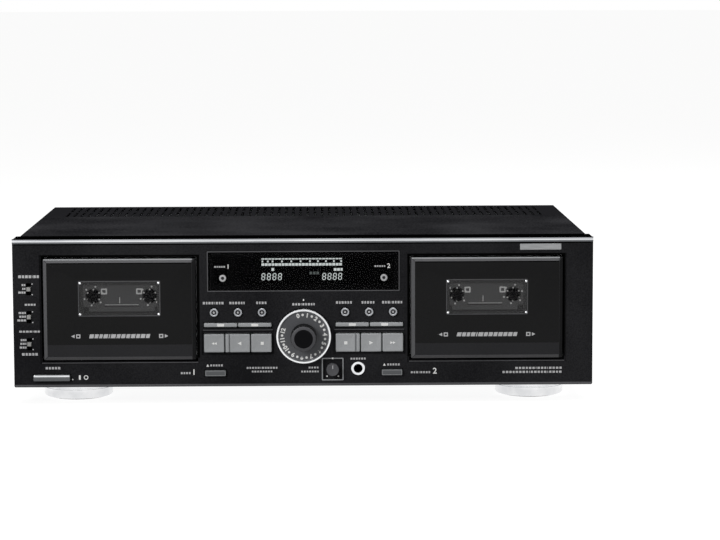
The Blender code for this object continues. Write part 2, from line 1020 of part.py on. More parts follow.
def make_hub(name, x):
    """Spindle with its collar in front of the plate and its reel gear behind."""
    front = -pocket_front - spindle_reach_in
    collar_back = seat_gap - plate_depth
    collar_front = collar_back + collar_length
    gear_front = -plate_depth - plate_sheet - seat_gap
    centre = place(x, 0, hub_level)
    hub = turned(
        name,
        [
            (0, collar_front),
            (collar_radius, collar_front),
            (collar_radius, collar_back),
            (spindle_shaft, collar_back),
            (spindle_shaft, gear_front),
            (reel_gear_radius, gear_front),
            (reel_gear_radius, gear_front - reel_gear_width),
            (0, gear_front - reel_gear_width),
        ],
        centre,
        round_steps,
        dark_plastic,
    )
    teeth = carried(
        name + "_teeth",
        spindle_outline(),
        [
            (front, spindle_root / 2, spindle_root / 2),
            (front - spindle_cone, spindle_tip, spindle_tip),
            (collar_front - collar_length / 2, spindle_tip, spindle_tip),
        ],
        centre,
    )
    join(hub, teeth)


def make_carriage(side, centre):
    """Head carriage with the head block and the two pinch rollers."""
    carriage = blocks(
        "head_carriage_" + side,
        [(
            pair(centre, carriage_width / 2),
            (carriage_front, carriage_back),
            (carriage_bottom, carriage_bottom + carriage_height),
        )],
        zinc_steel,
    )
    head = blocks(
        "head_block_" + side,
        [(
            pair(centre, head_width / 2),
            (head_front_depth, carriage_back - carriage_sheet / 2),
            (carriage_bottom + head_edge, carriage_rest_top),
        )],
    )
    bevel(head, head_edge)
    join(carriage, head)
    for way in (-1, 1):
        roller = turned(
            "pinch_roller_" + side + ("_left" if way < 0 else "_right"),
            [
                (0, -roller_front_depth),
                (roller_radius, -roller_front_depth),
                (roller_radius, -roller_rear_depth),
                (roller_axle, -roller_rear_depth),
                (roller_axle, carriage_sheet / 2 - carriage_back),
                (0, carriage_sheet / 2 - carriage_back),
            ],
            place(centre + way * roller_spacing / 2, 0, roller_level),
            small_steps,
        )
        join(carriage, roller)


def make_motor(side, centre):
    """Drive motor on the back of the transport plate."""
    front = -plate_depth - plate_sheet - seat_gap
    turned(
        "drive_motor_" + side,
        [
            (0, front),
            (motor_radius, front),
            (motor_radius, front - motor_length),
            (0, front - motor_length),
        ],
        place(centre, 0, motor_level),
        round_steps,
        zinc_steel,
    )


def make_transports():
    """Both doors with what they carry and the transports behind them."""
    for side, sign in sides:
        centre = sign * door_centre
        make_door(side, centre)
        make_door_lens(side, centre)
        make_holder(side, centre)
        make_transport_plate(side, centre)
        make_hub("supply_hub_" + side, centre - hub_spacing / 2)
        make_hub("takeup_hub_" + side, centre + hub_spacing / 2)
        make_carriage(side, centre)
        make_motor(side, centre)


def make_key(name, span, levels, proud, travel, finish):
    """Key cap with a chamfered front, a flange behind the wall and a stem to its switch."""
    width = span[1] - span[0]
    height = levels[1] - levels[0]
    flange_width = width - 2 * key_flange_inset
    stem_width = width * key_stem_share
    stem_height = height * key_stem_share
    sections = [
        (proud, width - 2 * key_edge, height - 2 * key_edge),
        (proud - key_edge, width, height),
        (-wall_back, width, height),
        (-wall_back, flange_width, height + 2 * key_flange),
        (-wall_back - key_flange_thickness, flange_width, height + 2 * key_flange),
        (-wall_back - key_flange_thickness, stem_width, stem_height),
        (travel - part_back, stem_width, stem_height),
    ]
    centre = place(sum(span) / 2, 0, sum(levels) / 2)
    carried(name, square(), sections, centre, finish)


def make_keys():
    """Slim keys, large keys, eject buttons and the power button."""
    slim = pair(slim_level, slim_height / 2)
    large = (large_bottom, large_bottom + large_height)
    eject = pair(eject_level, eject_height / 2)
    for side, sign in sides:
        for label, span in zip(("inner", "outer"), slim_spans(sign)):
            make_key("slim_key_" + side + "_" + label, span, slim, slim_proud, key_travel, key_silver)
        span = tuple(sorted((sign * eject_near, sign * eject_far)))
        make_key("eject_button_" + side, span, eject, eject_proud, eject_travel, key_silver)
    for number, span in enumerate(large_spans(), start=1):
        make_key("large_key_" + str(number), span, large, large_proud, key_travel, key_silver)
    power = pair(power_level, power_height / 2)
    make_key("power_button", (-power_left, -power_right), power, power_proud, power_travel, satin_silver)


def make_round_button(name, x, level, radius, proud, travel):
    """Round button with a dished and chamfered front."""
    profile = [
        (0, proud - button_dish),
        (radius * button_dish_share, proud - button_dish),
        (radius * button_rim_share, proud),
        (radius - button_edge, proud),
        (radius, proud - button_edge),
        (radius, travel - part_back),
        (0, travel - part_back),
    ]
    turned(name, profile, place(x, 0, level), small_steps, dark_plastic)


def make_round_buttons():
    """Six function buttons and the two counter reset buttons."""
    for number, x in enumerate(round_buttons(), start=1):
        make_round_button(
            "function_button_" + str(number), x, button_level, button_radius, button_proud, button_travel
        )
    for side, sign in sides:
        make_round_button(
            "reset_button_" + side, sign * reset_x, reset_level, reset_radius, reset_proud, button_travel
        )


def make_dial():
    """Level dial, a dished disc in a raised ring, with the second knob on its own shaft."""
    back = seat_gap - dial_sink
    dish = dial_proud - dial_dish
    centre = place(0, 0, dial_level)
    turned(
        "level_dial",
        [
            (dial_bore, dish),
            (dial_radius - dial_ring, dish),
            (dial_radius - dial_ring + dial_edge, dial_proud),
            (dial_radius - dial_edge, dial_proud),
            (dial_radius, dial_proud - dial_edge),
            (dial_radius, back),
            (dial_hub, back),
            (dial_hub, -part_back),
            (dial_bore, -part_back),
        ],
        centre,
        fine_steps,
        satin_silver,
        ring=True,
    )
    turned(
        "level_knob",
        [
            (0, knob_reach),
            (knob_face_radius, knob_reach),
            (knob_radius, knob_reach - knob_chamfer),
            (knob_radius, dish + seat_gap),
            (knob_shaft, dish + seat_gap),
            (knob_shaft, -part_back),
            (0, -part_back),
        ],
        centre,
        round_steps,
        satin_silver,
    )


def make_pitch_knob():
    """Small knob in the square frame."""
    back = seat_gap - pitch_box_sink
    profile = [
        (0, pitch_reach),
        (pitch_radius - pitch_edge, pitch_reach),
        (pitch_radius, pitch_reach - pitch_edge),
        (pitch_radius, back),
        (pitch_shaft, back),
        (pitch_shaft, -part_back),
        (0, -part_back),
    ]
    turned("pitch_knob", profile, place(pitch_x, 0, pitch_level), round_steps, dark_plastic)


def make_headphone_jack():
    """Headphone socket with its bush through the panel and its body behind."""
    bottom = phone_end_wall - phone_depth
    profile = [
        (0, bottom),
        (phone_bore, bottom),
        (phone_bore, phone_proud),
        (phone_outer, phone_proud),
        (phone_outer, -wall_back),
        (phone_body, -wall_back),
        (phone_body, -phone_depth),
        (0, -phone_depth),
    ]
    turned("headphone_jack", profile, place(phone_x, 0, phone_level), round_steps, bright_chrome)


def make_switches():
    """Three slide switches, each a square cap on a slider behind the wall."""
    for label, level in zip(("upper", "middle", "lower"), switch_levels):
        sections = [
            (switch_proud, switch_cap - key_edge, switch_cap - key_edge),
            (switch_proud - key_edge, switch_cap, switch_cap),
            (-wall_back, switch_cap, switch_cap),
            (-wall_back, switch_slider_width, switch_slider_height),
            (-wall_back - switch_slider_depth, switch_slider_width, switch_slider_height),
        ]
        carried("mode_switch_" + label, square(), sections, place(-switch_x, 0, level), white_plastic)


def make_transformer():
    """Power transformer, a laminated core with its winding through it."""
    floor = tray_sheet + seat_gap
    middle = floor + core_height / 2
    core = blocks(
        "power_transformer",
        [(
            pair(-transformer_x, core_width / 2),
            pair(transformer_depth, core_depth / 2),
            (floor, floor + core_height),
        )],
        coil_tape,
    )
    winding = blocks(
        "winding",
        [(
            pair(-transformer_x, core_width / 2 - core_width * key_stem_share / 4),
            pair(transformer_depth, coil_depth / 2),
            pair(middle, coil_height / 2),
        )],
    )
    bevel(winding, panel_side_wall)
    join(core, winding)


def make_rear_panel():
    """Rear panel with openings for the mains inlet and the line jacks."""
    rear = blocks(
        "rear_panel",
        [(
            pair(0, half_tray - tray_sheet - seat_gap),
            (rear_panel_depth, tray_rear_depth),
            (tray_sheet + seat_gap, panel_height - cover_sheet - seat_gap),
        )],
        zinc_steel,
    )
    through = (rear_panel_depth - overrun, tray_rear_depth + overrun)
    inlet = blocks(
        "inlet_opening",
        [(
            pair(-inlet_x, inlet_width / 2 + seat_gap),
            through,
            pair(inlet_level, inlet_height / 2 + seat_gap),
        )],
    )
    circles = [(x, level, radius + jack_clearance) for x, level, radius in jack_circles(jack_radius)]
    cut(rear, inlet, rods("jack_openings", circles, through))


def jack_circles(radius):
    """The four line jacks, two across and two high."""
    half = jack_pitch / 2
    return [(jack_x + x, jack_level + level, radius) for x in (-half, half) for level in (-half, half)]


def make_line_jacks():
    """Block of four line jacks whose barrels come out through the rear panel."""
    half = jack_pitch / 2 + jack_block_margin
    front = rear_panel_depth - seat_gap - jack_block_depth
    end = case_depth + jack_reach
    jacks = blocks(
        "line_jacks",
        [(pair(jack_x, half), (front, rear_panel_depth - seat_gap), pair(jack_level, half))],
        dark_plastic,
    )
    join(jacks, rods("jack_barrels", jack_circles(jack_radius), (rear_panel_depth - overrun, end)))
    cut(jacks, rods("jack_bores", jack_circles(jack_bore), (end - jack_bore_depth, end + overrun)))


def make_mains_inlet():
    """Two-pin mains inlet, with its flange on the outside of the rear panel."""
    flange_front = tray_rear_depth + seat_gap
    face = flange_front + inlet_flange_thickness
    inlet = blocks(
        "mains_inlet",
        [(
            pair(-inlet_x, inlet_width / 2),
            (face - inlet_flange_thickness / 2 - inlet_body_depth, face - inlet_flange_thickness / 2),
            pair(inlet_level, inlet_height / 2),
        )],
        dark_plastic,
    )
    flange = blocks(
        "inlet_flange",
        [(
            pair(-inlet_x, inlet_width / 2 + inlet_flange),
            (flange_front, face),
            pair(inlet_level, inlet_height / 2 + inlet_flange),
        )],
    )
    socket = blocks(
        "inlet_socket",
        [(
            pair(-inlet_x, socket_width / 2),
            (face - socket_depth, face + overrun),
            pair(inlet_level, socket_height / 2),
        )],
    )
    pins = [(way * socket_pin_spacing / 2 - inlet_x, inlet_level, socket_pin_radius) for way in (-1, 1)]
    depths = (face - socket_depth - overrun, face - socket_pin_short)
    join(inlet, flange)
    cut(inlet, socket)
    join(inlet, rods("inlet_pins", pins, depths))


make_front_panel()
make_trim()
make_display()
make_boards()
make_tray()
make_cover()
make_rear_panel()
make_feet()
make_transports()
make_keys()
make_round_buttons()
make_dial()
make_pitch_knob()
make_headphone_jack()
make_switches()
make_transformer()
make_line_jacks()
make_mains_inlet()
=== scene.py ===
"""Looks of a double cassette deck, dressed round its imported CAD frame.

Places are deck millimetres: x to the right, depth behind the front face, level above the panel's lower edge.
A shape is a stack of rings: closed outlines (u across, v up) that follow one another into the piece."""

import math
from functools import partial

import bpy
import numpy as np
from mathutils import Matrix, Vector


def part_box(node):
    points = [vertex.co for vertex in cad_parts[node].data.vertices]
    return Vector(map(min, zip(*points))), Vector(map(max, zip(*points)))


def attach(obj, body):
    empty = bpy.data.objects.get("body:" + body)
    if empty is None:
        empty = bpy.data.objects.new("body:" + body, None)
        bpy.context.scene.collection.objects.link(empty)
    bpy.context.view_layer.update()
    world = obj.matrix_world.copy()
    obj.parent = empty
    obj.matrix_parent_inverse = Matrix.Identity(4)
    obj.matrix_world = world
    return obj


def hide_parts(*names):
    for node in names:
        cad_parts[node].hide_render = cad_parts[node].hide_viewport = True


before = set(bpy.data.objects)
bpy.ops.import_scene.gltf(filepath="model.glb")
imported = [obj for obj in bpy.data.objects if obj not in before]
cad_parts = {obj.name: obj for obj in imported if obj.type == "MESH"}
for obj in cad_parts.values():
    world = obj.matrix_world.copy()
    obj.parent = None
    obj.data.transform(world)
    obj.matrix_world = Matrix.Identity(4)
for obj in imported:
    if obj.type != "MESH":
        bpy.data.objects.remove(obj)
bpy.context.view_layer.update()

MM = 0.001
TRIM_PROUD = 0.6
DIAL_LEVEL = 38.2
# How far printed marks stand out, and how far what lies on a face is let into it
INK = 0.06
SEAT = 0.02
# Edges sharper than this many degrees stay sharp, on shapes and on printed figures
SHAPE_CREASE, FIGURE_CREASE = 35, 30
# A font's size over the height of its figures
FONT_SHARE = 1.4
origin = np.array((0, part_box("top_trim")[0].y / MM + TRIM_PROUD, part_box("front_panel")[0].z / MM))

# Across, up and inward ways of each side of the deck, in world axes
SIDES = {
    "front": ((1, 0, 0), (0, 0, 1), (0, 1, 0)),
    "rear": ((-1, 0, 0), (0, 0, 1), (0, -1, 0)),
    "right": ((0, 1, 0), (0, 0, 1), (-1, 0, 0)),
    "left": ((0, -1, 0), (0, 0, 1), (1, 0, 0)),
    "below": ((1, 0, 0), (0, -1, 0), (0, 0, 1)),
}


def rounded(half_width, half_height, radius, steps=4):
    """Rounded rectangle: four corner centres at half size less radius, each with a quarter circle round it."""
    quarter = 90 * np.arange(4)[:, None]
    turn = np.radians(np.linspace(0, 90, steps) + quarter)
    corner = np.radians(45 + quarter)
    width, height, bend = (np.asarray(size, float)[..., None, None] for size in (half_width, half_height, radius))
    u = np.sign(np.cos(corner)) * (width - bend) + bend * np.cos(turn)
    v = np.sign(np.sin(corner)) * (height - bend) + bend * np.sin(turn)
    points = np.stack(np.broadcast_arrays(u, v), -1)
    return points.reshape(*points.shape[:-3], 4 * steps, 2)


def circle(radius, steps=40):
    """Circle: radius times the cosine and sine of even turns."""
    turn = np.linspace(0, 2 * math.pi, steps, endpoint=False)
    return np.asarray(radius, float)[..., None, None] * np.stack([np.cos(turn), np.sin(turn)], -1)


def stack(outlines, inward, centres, side="front"):
    """Rings: centre + across * u + up * v + inside * w, for every part, ring and point."""
    across, up, inside = np.array(SIDES[side], float)
    places = np.asarray(centres, float).reshape(-1, 1, 1, 3)
    depth = np.asarray(inward, float)[:, None, None] * inside
    return places + outlines[..., :1] * across + outlines[..., 1:] * up + depth


def plates(spots, profile, radius, steps=3):
    """Plates: each ring is the spot's rounded rectangle less the profile's inset, at the profile's depth.

    A spot is x, depth, level, width, height."""
    spots = np.array(spots, float).reshape(-1, 5)
    inset, inward = np.array(profile, float).T
    width, height = spots[:, 3:4] / 2 - inset, spots[:, 4:5] / 2 - inset
    bend = np.clip(radius - inset, 0.01, np.minimum(width, height))
    return stack(rounded(width, height, bend, steps), inward, spots[:, :3])


def turned(centres, profile, side="front", steps=40):
    """Turned parts: each ring is a circle of the profile's radius, at the profile's depth."""
    radius, inward = np.array(profile, float).T
    return stack(circle(radius, steps)[None], inward, centres, side)


def fluted(centres, profile, count, steps):
    """Fluted parts: each ring is a circle less the profile's flute times half of 1 - cosine(count * turn)."""
    radius, inward, flute = np.array(profile, float).T
    turn = np.linspace(0, 2 * math.pi, steps, endpoint=False)
    reach = radius[:, None] - flute[:, None] * (1 - np.cos(count * turn)) / 2
    outline = reach[..., None] * np.stack([np.cos(turn), np.sin(turn)], -1)
    return stack(outline[None], inward, centres)


def screw_heads(centres, side, radius=3.2, height=1.6):
    """Pan heads with a crossed recess: a cross, the farther reach of two bars, then wider and wider circles."""
    turn = np.linspace(0, 2 * math.pi, 64, endpoint=False)
    cosine, sine = np.abs(np.cos(turn)) + 1e-9, np.abs(np.sin(turn)) + 1e-9
    spread, pen = 0.5 * radius, 0.13 * radius
    cross = np.maximum(np.minimum(spread / cosine, pen / sine), np.minimum(pen / cosine, spread / sine))
    shares = np.array([(0.60, 1.0), (0.84, 0.86), (0.97, 0.5), (1.0, 0.0)])
    reach = np.concatenate([[0.5 * cross, cross, cross], shares[:, :1] * radius * np.ones(64)])
    rise = np.concatenate([[0.35, 0.4, 1.0], shares[:, 1]]) * height
    outline = reach[..., None] * np.stack([np.cos(turn), np.sin(turn)], -1)
    return stack(outline[None], -rise, centres, side)


def lengthwise(section, ends):
    """Bar: a section of (depth, level) corners carried along x, from the right end to the left one."""
    outline = np.array(section, float)[None, None].repeat(2, 1)
    return stack(outline, (-ends[1], -ends[0]), (0, 0, 0), "right")


def window_frame(centre, outer, inner, radii, depths, edge=0.0):
    """Frame: a hoop of rounded rectangles, outer wall back, rear face, inner wall forward, front face."""
    front, back = depths
    sizes = np.array([
        (outer[0] / 2 - edge, outer[1] / 2 - edge, radii[0], front),
        (outer[0] / 2, outer[1] / 2, radii[0], front + edge), (outer[0] / 2, outer[1] / 2, radii[0], back),
        (inner[0] / 2, inner[1] / 2, radii[1], back), (inner[0] / 2, inner[1] / 2, radii[1], front + edge),
        (inner[0] / 2 + edge, inner[1] / 2 + edge, radii[1], front),
    ])
    return stack(rounded(*sizes[:, :3].T)[None], sizes[:, 3], centre)


def finish_mesh(name, points, faces, finish, body, crease):
    """Puts deck millimetres into a mesh in metres, smooth but for edges sharper than the crease."""
    mesh = bpy.data.meshes.new(name)
    mesh.from_pydata(((points + origin) * MM).tolist(), [], faces)
    mesh.shade_smooth()
    mesh.set_sharp_from_angle(angle=math.radians(crease))
    mesh.materials.append(FINISHES[finish])
    piece = bpy.data.objects.new(name, mesh)
    bpy.context.scene.collection.objects.link(piece)
    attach(piece, body)
    return piece


def make(name, finish, body, slot, solids=(), hoops=(), stands_for=None):
    """One piece from stacks: quads join ring to ring, faces close a solid's ends, a hoop closes on itself."""
    points, faces, start = [], [], 0
    for rings, closed in [(one, False) for one in solids] + [(one, True) for one in hoops]:
        parts, count, around = rings.shape[:3]
        index = start + np.arange(parts * count * around).reshape(parts, count, around)
        here = index if closed else index[:, :-1]
        there = np.roll(index, -1, 1) if closed else index[:, 1:]
        sides = np.stack([here, there, np.roll(there, -1, 2), np.roll(here, -1, 2)], -1)
        faces += sides.reshape(-1, 4).tolist()
        if not closed:
            faces += index[:, 0].tolist() + index[:, -1, ::-1].tolist()
        points.append(rings.reshape(-1, 3))
        start += index.size
    piece = finish_mesh(name, np.concatenate(points), faces, finish, body, SHAPE_CREASE)
    if stands_for:
        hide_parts(stands_for)
    return piece


def numerals(name, finish, body, words, thickness=0.12, weight=0.0):
    """Printed numbers: each flat glyph is turned by an angle, moved to its place and given a thickness.

    A word is text, x, depth, level, size, turn in degrees."""
    points, faces, start = [], [], 0
    for text, x, depth, level, size, turn in words:
        curve = bpy.data.curves.new(name + "_" + text, "FONT")
        curve.body, curve.align_x, curve.align_y = text, "CENTER", "CENTER"
        curve.size, curve.extrude, curve.offset = size * FONT_SHARE, thickness / 2, weight
        glyph = bpy.data.objects.new(curve.name, curve)
        flat = bpy.data.meshes.new_from_object(glyph)
        where = np.zeros(len(flat.vertices) * 3)
        flat.vertices.foreach_get("co", where)
        u, v, w = where.reshape(-1, 3).T
        cosine, sine = math.cos(math.radians(turn)), math.sin(math.radians(turn))
        across, up = u * cosine - v * sine, u * sine + v * cosine
        points.append(np.stack([x + across, depth - w, level + up], -1))
        faces += [[start + corner for corner in face.vertices] for face in flat.polygons]
        start += len(flat.vertices)
        bpy.data.objects.remove(glyph)
    return finish_mesh(name, np.concatenate(points), faces, finish, body, FIGURE_CREASE)


# Finishes


def linear(code):
    """An sRGB hex colour as linear light, with full alpha."""
    shares = np.array([int(code[at:at + 2], 16) for at in (1, 3, 5)]) / 255
    light = np.where(shares <= 0.04045, shares / 12.92, ((shares + 0.055) / 1.055) ** 2.4)
    return (*light.tolist(), 1.0)


def add(tree, kind, feeds=(), **settings):
    """Adds one shader node with its settings; a feed is a socket's value or the socket that leads to it."""
    node = tree.nodes.new("ShaderNode" + kind)
    for setting, value in settings.items():
        setattr(node, setting, value)
    for socket, value in dict(feeds).items():
        if isinstance(value, bpy.types.NodeSocket):
            tree.links.new(value, node.inputs[socket])
        else:
            node.inputs[socket].default_value = value
    return node


def blank(name):
    """A material with an empty node tree and its Object coordinates."""
    material = bpy.data.materials.new(name)
    material.use_nodes = True
    material.node_tree.nodes.clear()
    return material, material.node_tree, add(material.node_tree, "TexCoord").outputs["Object"]


def close(material, shader):
    """Leads the shader to the output. What glows is found by what looks at it, which leaves less noise."""
    material.cycles.emission_sampling = "NONE"
    add(material.node_tree, "OutputMaterial", {"Surface": shader.outputs[0]})
    return material


def grained(name, colours, grain, rough, relief=0.0, stretch=(1, 1, 1), fade=None, **surface):
    """A finish whose noise, of the grain's size in mm, mixes two colours, moves the roughness and lifts the skin.

    A fade is the colour that the finish turns to, and an axis or two, each with the places in deck mm where
    the turn starts and ends."""
    material, tree, place = blank(name)
    scaled = add(tree, "Mapping", {"Vector": place, "Scale": stretch})
    speck = add(tree, "TexNoise", {"Vector": scaled.outputs[0], "Scale": 1 / (grain * MM), "Detail": 3.0})
    cloud = add(tree, "TexNoise", {"Vector": place, "Scale": 14.0, "Detail": 2.0})
    both = add(tree, "Math", {0: speck.outputs["Fac"], 1: cloud.outputs["Fac"]}, operation="ADD")
    share = add(tree, "MapRange", {"Value": both.outputs[0], "From Min": 0.75, "From Max": 1.25})
    colour = add(tree, "Mix", {0: share.outputs[0], 6: linear(colours[0]), 7: linear(colours[1])}, data_type="RGBA")
    if fade:
        turned_to, *spans = fade
        along = add(tree, "SeparateXYZ", {0: place}).outputs
        amount = 1.0
        for axis, *ends in spans:
            start, end = ((one + origin["XYZ".index(axis)]) * MM for one in ends)
            amount = add(
                tree, "MapRange", {"Value": along[axis], "From Min": start, "From Max": end, "To Max": amount},
            ).outputs[0]
        colour = add(tree, "Mix", {0: amount, 6: colour.outputs[2], 7: linear(turned_to)}, data_type="RGBA")
    polish = add(tree, "MapRange", {"Value": share.outputs[0], "To Min": rough[0], "To Max": rough[1]})
    feeds = {"Base Color": colour.outputs[2], "Roughness": polish.outputs[0], **surface}
    if relief:
        bump = add(tree, "Bump", {"Height": speck.outputs["Fac"], "Distance": relief * MM})
        feeds["Normal"] = bump.outputs[0]
    return close(material, add(tree, "BsdfPrincipled", feeds))


def spun(name, colours, centre, groove, rough):
    """Turned metal: noise on the distance from the centre alone draws rings a groove's width apart."""
    material, tree, place = blank(name)
    where = (np.array(centre) + origin) * MM
    moved = add(tree, "Mapping", {"Vector": place, "Location": -where, "Scale": (1, 0, 1)})
    away = add(tree, "VectorMath", {0: moved.outputs[0]}, operation="LENGTH")
    rings = add(
        tree, "TexNoise", {"W": away.outputs["Value"], "Scale": 1 / (groove * MM), "Detail": 2.0},
        noise_dimensions="1D",
    )
    colour = add(
        tree, "Mix", {0: rings.outputs["Fac"], 6: linear(colours[0]), 7: linear(colours[1])},
        data_type="RGBA",
    )
    polish = add(tree, "MapRange", {"Value": rings.outputs["Fac"], "To Min": rough[0], "To Max": rough[1]})
    bump = add(tree, "Bump", {"Height": rings.outputs["Fac"], "Distance": 0.02 * MM})
    feeds = {
        "Base Color": colour.outputs[2],
        "Metallic": 1.0,
        "Roughness": polish.outputs[0],
        "Normal": bump.outputs[0],
    }
    return close(material, add(tree, "BsdfPrincipled", feeds))


def board(name, mask, copper, pitch):
    """Circuit board: square cells a pad's pitch wide, some of them copper under the solder mask."""
    material, tree, place = blank(name)
    cells = add(tree, "TexVoronoi", {"Vector": place, "Scale": 1 / (pitch * MM)}, distance="CHEBYCHEV")
    track = add(tree, "MapRange", {"Value": cells.outputs["Distance"], "From Min": 0.3, "From Max": 0.36})
    colour = add(tree, "Mix", {0: track.outputs[0], 6: linear(copper), 7: linear(mask)}, data_type="RGBA")
    bump = add(tree, "Bump", {"Height": track.outputs[0], "Distance": 0.1 * MM})
    feeds = {"Base Color": colour.outputs[2], "Roughness": 0.35, "Normal": bump.outputs[0]}
    return close(material, add(tree, "BsdfPrincipled", feeds))


def glowing(name, colour, strength):
    """Lit phosphor: a fine mesh of its grid wires dims the glow a little."""
    material, tree, place = blank(name)
    wires = add(tree, "TexVoronoi", {"Vector": place, "Scale": 1 / (0.5 * MM)})
    dim = add(
        tree, "Mix", {0: wires.outputs["Distance"], 6: linear(colour), 7: linear("#9aa6a4")},
        data_type="RGBA",
    )
    feeds = {
        "Base Color": linear(colour),
        "Roughness": 0.6,
        "Emission Color": dim.outputs[2],
        "Emission Strength": strength,
    }
    return close(material, add(tree, "BsdfPrincipled", feeds))


def see_through(name, colours, alpha, rough, **surface):
    """Smoked acrylic: a dark skin that lets the rest of the light past it."""
    material, tree, place = blank(name)
    cloud = add(tree, "TexNoise", {"Vector": place, "Scale": 40.0, "Detail": 2.0})
    colour = add(
        tree, "Mix", {0: cloud.outputs["Fac"], 6: linear(colours[0]), 7: linear(colours[1])},
        data_type="RGBA",
    )
    polish = add(tree, "MapRange", {"Value": cloud.outputs["Fac"], "To Min": rough[0], "To Max": rough[1]})
    feeds = {"Base Color": colour.outputs[2], "Roughness": polish.outputs[0], "Alpha": alpha, **surface}
    return close(material, add(tree, "BsdfPrincipled", feeds))


METAL = {"Metallic": 1.0}
SATIN = {"Specular IOR Level": 0.1}
DEAD = {"Specular IOR Level": 0.02}


def lit(strength):
    """A faint painted glow that the mouldings inside the wells give off themselves; no lamp gives it."""
    return {"Emission Color": linear("#ffffff"), "Emission Strength": strength, "Specular IOR Level": 0.1}


